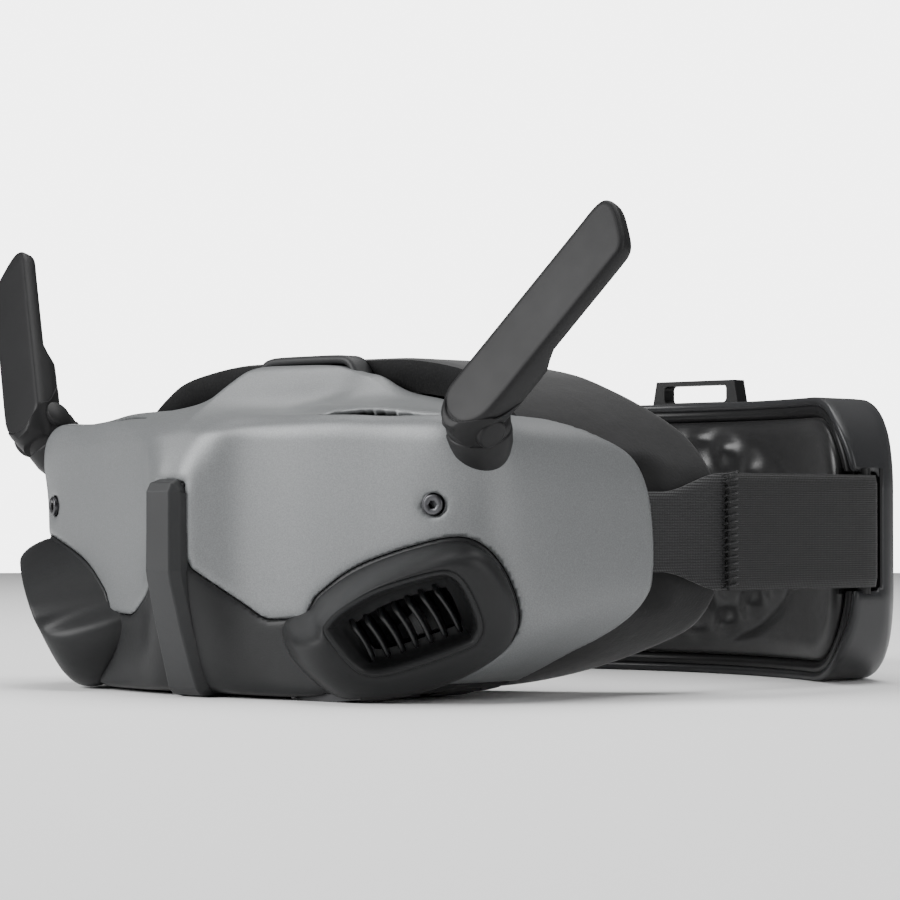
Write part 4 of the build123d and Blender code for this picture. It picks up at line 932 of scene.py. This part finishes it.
# ---- loop over the brow
loop_line = spline([(-16.5, 70.6), (-14.6, 73.4), (-12.6, 74.6), (-9, 74.95), (0, 75.0), (9, 74.95),
                    (12.6, 74.6), (14.6, 73.4), (16.5, 70.6)], 6)
loop_section = ((-2.6, -0.4), (-2.3, 0.15), (-1.6, 0.35), (2.2, 0.35), (2.9, 0.1), (3.2, -0.4),
                (3.2, -1.2), (2.6, -1.6), (-2.0, -1.6), (-2.6, -1.2))
loop_y = 46.6
loop_rings = []
for k, (x, z) in enumerate(loop_line):
    a, b = loop_line[max(k - 1, 0)], loop_line[min(k + 1, len(loop_line) - 1)]
    t = (b - a) / np.linalg.norm(b - a)
    loop_rings.append(np.array([(x - t[1] * dn, loop_y + dy, z + t[0] * dn) for dy, dn in loop_section]))
loop_v, loop_f = loft(loop_rings, cap_start=True, cap_end=True)
face_out(make("brow_loop", loop_v, loop_f, BAR, "goggles", nodes=["front_loop"], slot="shell_dark"))

for node, paint, edge in (
    ("antenna_board", BOARD, 0), ("lens_barrel", BLACK, 0.3), ("eyepiece_lens", GLASS, 0),
    ("display_panel", PANEL, 0.1), ("ipd_knob", BUTTON, 0.25), ("strap_hook", BLACK, 0.25),
):
    dress(f"{node}_left", paint, edge)
    dress(f"{node}_right", paint, edge)
for node, paint, edge in (
    ("antenna_pins", SCREW, 0.1), ("bottom_screws", SCREW, 0.12), ("bottom_cover", DARK, 0.25),
    ("chassis", BLACK, 0.2), ("guide_rods", STEEL, 0.1), ("mainboard", BOARD, 0),
    ("heat_sink", ALUMINIUM, 0.1), ("fan_housing", BLACK, 0.2), ("fan_impeller", BLACK, 0.15),
    ("control_board", BOARD, 0), ("nav_rocker", BLACK, 0.1), ("nav_stick", BLACK, 0.1),
    ("nav_cap", BUTTON, 0.3), ("back_button", BUTTON, 0.3), ("link_button", BUTTON, 0.25),
    ("port_cover", RUBBER, 0.25), ("usb_c_port", PLATED, 0.1), ("card_slot", PLATED, 0.1),
    ("port_board", BOARD, 0), ("proximity_sensor", PANEL, 0.1), ("headband_rivets", SCREW, 0.2),
    ("battery_cells", FOIL, 0.3), ("battery_board", BOARD, 0), ("power_button", BUTTON, 0.25),
    ("status_lights", LIGHT, 0.1), ("rear_loop", BLACK, 0.6),
):
    dress(node, paint, edge)

# ---- light shield
# Half of the shield's outline seen from the front (x, z).
shield_half = [(0, 74.6), (15, 74.6), (30, 74.2), (45, 71.6), (53, 67.6), (60, 61.9), (66, 55),
               (70.6, 48.5), (72.5, 42.0), (72.6, 28), (70.6, 20.5), (64, 13.2), (53, 6.4), (40, 2.2),
               (25, 0.5), (0, 0.4)]
half = spline(shield_half, 8)
SHIELD = np.concatenate([half, half[1:-1][::-1] * (-1, 1)])
head_y, head_r = 146.0, 76.0
strap_z = 35.8
shield_front, shield_wall, shield_rear = 49.0, 7.6, 104.6
nose_top = 25.0


def head_edge(x):
    """Wearer's side of the shield: it follows the head and ends at the temples."""
    a = np.minimum(np.abs(x), head_r - 1)
    y = head_y - np.sqrt(head_r**2 - a**2)
    return shield_rear - 2.0 * np.log1p(np.exp((shield_rear - y) / 2.0))


def shield_ring(inset, depth, rear_inset):
    """A loop of the shield: the outline pulled in, at a ratio of the way to the head."""
    loop = shrink(SHIELD, inset)
    x, z = loop[:, 0], loop[:, 1]
    rear = head_edge(x) - rear_inset
    y = shield_front + (rear - shield_front) * depth
    nose = np.exp(-((np.abs(x) / 14.5) ** 4)) * (z < 30)
    z = z + np.maximum(nose * (nose_top - z + inset * 0.2) * step(0.15, 0.42, depth), 0)
    # the sides are hollowed where the straps leave the hooks
    pocket = step(19, 13, np.abs(z - strap_z)) * step(88, 80, y) * step(66, 72.0, np.abs(x))
    x = x - np.sign(x) * 4.6 * pocket * (inset < 4)
    return np.stack([x, y, z], 1)


skin_inset, rear_inset = 0.15, 3.6
shield_rings = []
for t in np.linspace(0, 1, 26):
    shield_rings.append(shield_ring(skin_inset + 0.5 * (1 - min(1, t * 8)) ** 2, t, rear_inset))
for k in range(1, 9):
    a = math.pi * k / 8
    r = shield_wall / 2
    shield_rings.append(shield_ring(skin_inset + r - r * math.cos(a), 1.0, rear_inset - 3.4 * math.sin(a)))
for t in np.linspace(1, 0.06, 18)[1:]:
    shield_rings.append(shield_ring(skin_inset + shield_wall, t, rear_inset))
shield_v, shield_f = loft(shield_rings + [shield_rings[0]])
shield = face_out(make("light_shield_foam", shield_v, shield_f, SHIELD_CLOTH, "goggles",
                       nodes=["light_shield"], slot="shield_fabric"))

# ---- forehead pad
pad_half, pad_bottom = 45.0, 55.6
pad_rings = []
for k in range(24):
    a = 2 * math.pi * k / 24
    tall_part = np.sign(math.sin(a)) * abs(math.sin(a)) ** 0.6
    thick_part = np.sign(math.cos(a)) * abs(math.cos(a)) ** 0.7
    ring = []
    for s in np.linspace(-1, 1, 61):
        end = max(0.0, 1 - abs(s) ** 14) ** 0.5
        x = pad_half * s
        top = float(np.interp(abs(x), half[:60, 0], half[:60, 1])) - 1.6
        z = (pad_bottom + top) / 2 + (top - pad_bottom) / 2 * tall_part * (0.35 + 0.65 * end)
        thick = 2.5 * thick_part * (0.3 + 0.7 * end)
        ring.append((x, head_y - math.sqrt((head_r + 2.6) ** 2 - x * x) - thick, z))
    pad_rings.append(np.array(ring))
pad_v, pad_f = loft(pad_rings + [pad_rings[0]], closed=False)
pad = face_out(make("forehead_pad_foam", pad_v, pad_f, PAD, "goggles", nodes=["forehead_pad"],
                    slot="cushion_leather"))


# ---- headband straps
def strap_x(y):
    """The straps' plan line, bowed slightly outwards."""
    t = np.clip((y - 70.0) / 77.0, 0, 1.1)
    return 72.5 + t * 3.7 + 4 * t * (1 - t) * 1.35


def band(path, heights, thickness):
    """A woven band swept along a plan path of (x, y) with half heights; its long edges are rounded."""
    path = np.array(path, float)
    rows = 12
    rings = []
    for k, ((x, y), h) in enumerate(zip(path, heights)):
        t = path[min(k + 1, len(path) - 1)] - path[max(k - 1, 0)]
        t /= np.linalg.norm(t)
        out = np.array([t[1], -t[0]])
        ring = []
        for face, order in ((0.5, range(rows + 1)), (-0.5, range(rows, -1, -1))):
            for j in order:
                z = -h + 2 * h * j / rows
                lip = min(1.0, (h - abs(z)) / 0.8 + 0.35)
                place = np.array([x, y]) + out * thickness * (0.5 + face * lip)
                ring.append((*place, strap_z + z))
        rings.append(np.array(ring))
    return loft(rings, cap_start=True, cap_end=True)


strap_half, hook_half = 13.0, 8.75
post_x, post_y = 75.6, 151.0
low_y = np.linspace(70.5, 142, 90)
low_h = hook_half + (strap_half - hook_half) * step(80, 99, low_y)
low_v, low_f = band([(strap_x(y) + 0.05, y) for y in low_y], low_h, 1.5)
top_path = [(strap_x(y) + 1.75, y) for y in np.linspace(99, 147.5, 60)]
for a in np.radians(np.linspace(8, 205, 26)):
    top_path.append((post_x + 2.15 * math.cos(a), post_y + 2.15 * math.sin(a) - 0.1))
top_v, top_f = band(top_path, [strap_half] * len(top_path), 1.15)
stitch_x = float(strap_x(99.5)) + 1.7
stitch_line = ((-0.1, 97.9, 0), (0.45, 98.1, 0.2), (1.35, 98.9, 0.45), (1.5, 99.8, 0.65),
               (1.45, 101.4, 0.9), (1.0, 101.6, 1.0))
thread_round = [(0.22 * math.cos(b), 0.22 * math.sin(b)) for b in np.linspace(0, 2 * math.pi, 7)[:-1]]
threads = []
for z in strap_z - 12.4 + 1.55 * np.arange(17):
    rings = [np.array([(stitch_x + dx + c, y, z + dz + q) for c, q in thread_round])
             for dx, y, dz in stitch_line]
    threads.append(loft(rings, cap_start=True, cap_end=True))
stitch_v, stitch_f = join(threads)
for side, sign in (("left", 1), ("right", -1)):
    for name, v, f, paint, node, slot in (
        ("strap_lower", low_v, low_f, RIBBED, "strap_elastic", "strap_fabric"),
        ("strap_upper", top_v, top_f, MESH, "strap_top", "strap_mesh"),
        ("strap_stitches", stitch_v, stitch_f, RIBBED, "strap_top", "strap_mesh"),
    ):
        v, f = (v, f) if sign > 0 else mirrored(v, f)
        face_out(make(f"{name}_{side}", v, f, paint, "headband", nodes=[f"{node}_{side}"],
                                  slot=slot))

# ---- rear unit
# The outer and inner faces are arcs seen from above, each with its centre's y and its radius.
unit_half, unit_high, unit_round = 77.0, 67.7, 22.0
outer_c, outer_r = 91.98, 104.0
inner_c, inner_r = 65.48, 107.0
inner_end = 146  # the inner face flattens here, at the unit's sides


def unit_loop(inset, count=336):
    """The rear unit's outline from the front, pulled in by inset; it starts at mid height."""
    w, h = unit_half - inset, unit_high / 2 - inset
    r = max(unit_round - inset, 0.6)
    corners = [(w - r, h - r, 0), (-w + r, h - r, 90), (-w + r, -h + r, 180), (w - r, -h + r, 270)]
    line = [(w, 0.0)]
    for cx, cz, start in corners:
        for a in np.linspace(start, start + 90, 25):
            line.append((cx + r * math.cos(math.radians(a)), cz + r * math.sin(math.radians(a))))
    line.append((w, 0.0))
    line = np.array(line)
    run = np.concatenate([[0], np.cumsum(np.linalg.norm(np.diff(line, axis=0), axis=1))])
    at = np.linspace(0, run[-1], count + 1)[:-1]
    return np.stack([np.interp(at, run, line[:, 0]),
                     np.interp(at, run, line[:, 1]) + unit_high / 2], 1)


def outer_y(x):
    return outer_c + np.sqrt(outer_r**2 - np.minimum(np.abs(x), 100) ** 2)


def inner_y(x):
    y = inner_c + np.sqrt(inner_r**2 - np.minimum(np.abs(x), 100) ** 2)
    return inner_end + 1.5 * np.log1p(np.exp((y - inner_end) / 1.5))


def unit_ring(inset, from_front=None, from_back=None, ratio=None):
    """Loop of the rear unit at a distance from its front edge or its outer face, or between them."""
    loop = unit_loop(inset)
    x = loop[:, 0]
    if ratio is not None:
        y = inner_y(x) + (outer_y(x) - inner_y(x)) * ratio
    elif from_front is not None:
        y = inner_y(x) + from_front
    else:
        y = outer_y(x) - from_back
    return np.stack([x, y, loop[:, 1]], 1)


def closed_loft(rings):
    """Loft whose last loop is filled by joining its upper and lower halves."""
    verts, faces = loft(rings)
    count = len(rings[0])
    start = len(verts) - count
    for i in range(count // 2):
        quad = [start + i, start + i + 1, start + (count - i - 1) % count, start + (count - i) % count]
        quad = list(dict.fromkeys(quad))
        if len(quad) > 2:
            faces.append(quad)
    return verts, faces


def buckle_field(verts):
    """Distance from the slots that the straps pass through, at the unit's sides."""
    x, y, z = verts.T
    return np.maximum(rounded_box(np.abs(x) - 78.5, z - strap_z, 6.8, 13.9, 1.2), y - 156.3)


case_rings = [unit_ring(2.6, from_front=2.5), unit_ring(2.0, from_front=1.2), unit_ring(1.4, from_front=0.75),
              unit_ring(0.7, from_front=0.7), unit_ring(0.2, from_front=1.0), unit_ring(0.0, from_front=1.6)]
for t in np.linspace(0.18, 0.72, 9):
    case_rings.append(unit_ring(0.0, ratio=t))
for k in range(1, 7):
    a = math.pi / 2 * k / 6
    case_rings.append(unit_ring(4 - 4 * math.cos(a), from_back=4 - 4 * math.sin(a)))
for inset in np.arange(5.6, 33.0, 1.7):
    case_rings.append(unit_ring(inset, from_back=0))
case_v, case_f = closed_loft(case_rings)
y = case_v[:, 1]
buckle_d = np.where(y < 158, buckle_field(case_v), ELSEWHERE)
button_axis = (math.sin(math.radians(24)), math.cos(math.radians(24)), 0)
button_point = (outer_r * button_axis[0], outer_c + outer_r * button_axis[1], unit_high / 2)
button_d = np.where(y > 150, axis_distance(case_v, button_point, button_axis) - 4.75, ELSEWHERE)
case_v, case_f, left = clip(case_v, [np.array(f) for f in case_f], np.minimum(buckle_d, button_d))
if (normals_of(case_v, case_f) * (case_v - (0, 158, 34))).sum() < 0:
    case_f = [f[::-1] for f in case_f]
case_v = round_rim(case_v, case_f, left, 0.4)
solidify(make("rear_case", case_v, case_f, CASE, "headband", nodes=["battery_shell"], slot="shell_dark"), 1.5)

cover_rings = [unit_ring(1.6, from_front=3.5), unit_ring(1.9, from_front=1.6), unit_ring(2.4, from_front=0.9),
               unit_ring(3.4, from_front=0.9), unit_ring(4.4, from_front=1.5), unit_ring(5.2, from_front=3.4),
               unit_ring(5.4, from_front=6)]
cover_v, cover_f = loft(cover_rings)
cover_v, cover_f, _ = clip(cover_v, [np.array(f) for f in cover_f], buckle_field(cover_v))
face_out(make("rear_cover_rim", cover_v, cover_f, BLACK, "headband", nodes=["battery_cover"],
              slot="chassis_black"))

cushion_steps = [(5.6, 6.0), (5.0, 4.4), (4.8, 3.0), (5.0, 1.8), (5.5, 0.9), (6.3, 0.2), (7.4, -0.3)]
cushion_steps += [(inset, -0.6) for inset in np.arange(8.8, 33.2, 1.1)]
cushion_v, cushion_f = closed_loft([unit_ring(inset, from_front=front) for inset, front in cushion_steps])
x, y, z = cushion_v.T
zone = np.hypot(x / 50.0, (z - 34.5) / 27.5)
inside_zone = step(1.02, 0.9, zone)
rim_fold = bump(zone, 1.0, 0.055)
cell, cell_rise = 9.6, 0.87
slant = (z - 34) / cell * cell_rise
cells = sum(np.cos(2 * math.pi * turn) for turn in (x / cell, x / (2 * cell) + slant, x / (2 * cell) - slant))
puff = inside_zone * (0.34 * cells + 0.4) - 0.7 * rim_fold
cushion_v[:, 1] -= puff * step(0.5, -0.5, y - inner_y(x))
cushion = face_out(make("rear_cushion", cushion_v, cushion_f, CUSHION, "headband", nodes=["back_cushion"],
                        slot="cushion_leather"))

# The straps turn back round these posts, and a thin wall closes the slot behind them.
post_r, post_reach = 1.75, 14.6
wall_line = ((71.6, 145.8), (71.6, 157.0), (76.8, 157.0), (76.6, 156.2), (72.4, 156.2), (72.4, 145.8))
posts = []
for sign in (1, -1):
    stack = []
    for z in (strap_z - post_reach, strap_z, strap_z + post_reach):
        stack.append(np.array([(sign * post_x + post_r * math.cos(a), post_y + post_r * math.sin(a), z)
                               for a in np.linspace(0, 2 * math.pi, 25)[:-1]]))
    posts.append(loft(stack, cap_start=True, cap_end=True))
    posts.append(prism([(sign * x, y) for x, y in wall_line], lambda u, w, depth: np.array([u, w, depth]),
                       strap_z - post_reach, strap_z + post_reach))
post_v, post_f = join(posts)
face_out(make("strap_end_bars", post_v, post_f, BLACK, "headband", smooth=False, nodes=["battery_shell"],
              slot="chassis_black"))

# ---- studio
floor_mesh = bpy.data.meshes.new("floor")
floor_r = 1.6
floor_edge = [(floor_r * math.cos(a), floor_r * math.sin(a), 0)
              for a in np.linspace(0, 2 * math.pi, 97)[:-1]]
floor_mesh.from_pydata(floor_edge, [], [tuple(range(96))])
floor = bpy.data.objects.new("floor", floor_mesh)
bpy.context.scene.collection.objects.link(floor)
floor_paint, _ = material("floor_paint", (0.9, 0.9, 0.9), 0.8)
floor_mesh.materials.append(floor_paint)

world = bpy.data.worlds.new("studio")
bpy.context.scene.world = world
world.use_nodes = True
sky = world.node_tree.nodes["Background"]
sky.inputs["Color"].default_value = (1, 1, 1, 1)
seen = world.node_tree.nodes.new("ShaderNodeLightPath")
level = world.node_tree.nodes.new("ShaderNodeMapRange")
# the background looks white but adds only a little light
level.inputs["To Min"].default_value = 0.14
level.inputs["To Max"].default_value = 5
world.node_tree.links.new(seen.outputs["Is Camera Ray"], level.inputs["Value"])
world.node_tree.links.new(level.outputs["Result"], sky.inputs["Strength"])


def lamp(name, place, aim, size, power):
    """Soft rectangular light."""
    light = bpy.data.lights.new(name, "AREA")
    light.shape = "RECTANGLE"
    light.size, light.size_y = size
    light.energy = power
    obj = bpy.data.objects.new(name, light)
    obj.location = place
    obj.rotation_euler = (Vector(aim) - Vector(place)).to_track_quat("-Z", "Y").to_euler()
    bpy.context.scene.collection.objects.link(obj)


centre = (0.0, 0.0, 0.04)
lamp("key_left", (-0.55, -1.10, 0.62), centre, (0.7, 0.9), 26)
lamp("side_right", (1.20, 0.05, 0.45), centre, (0.5, 0.8), 6)
lamp("top", (0.0, 0.25, 1.25), centre, (1.3, 1.3), 22)

camera_data = bpy.data.cameras.new("photo_camera")
camera_data.lens = 132.43
camera_data.sensor_width = 36
camera = bpy.data.objects.new("photo_camera", camera_data)
camera.location = (0.5408, -0.5679, 0.0388)
look = Vector((-0.6939, 0.7197, 0.0206))
camera.rotation_euler = look.to_track_quat("-Z", "Y").to_euler()
bpy.context.scene.collection.objects.link(camera)
bpy.context.scene.camera = camera
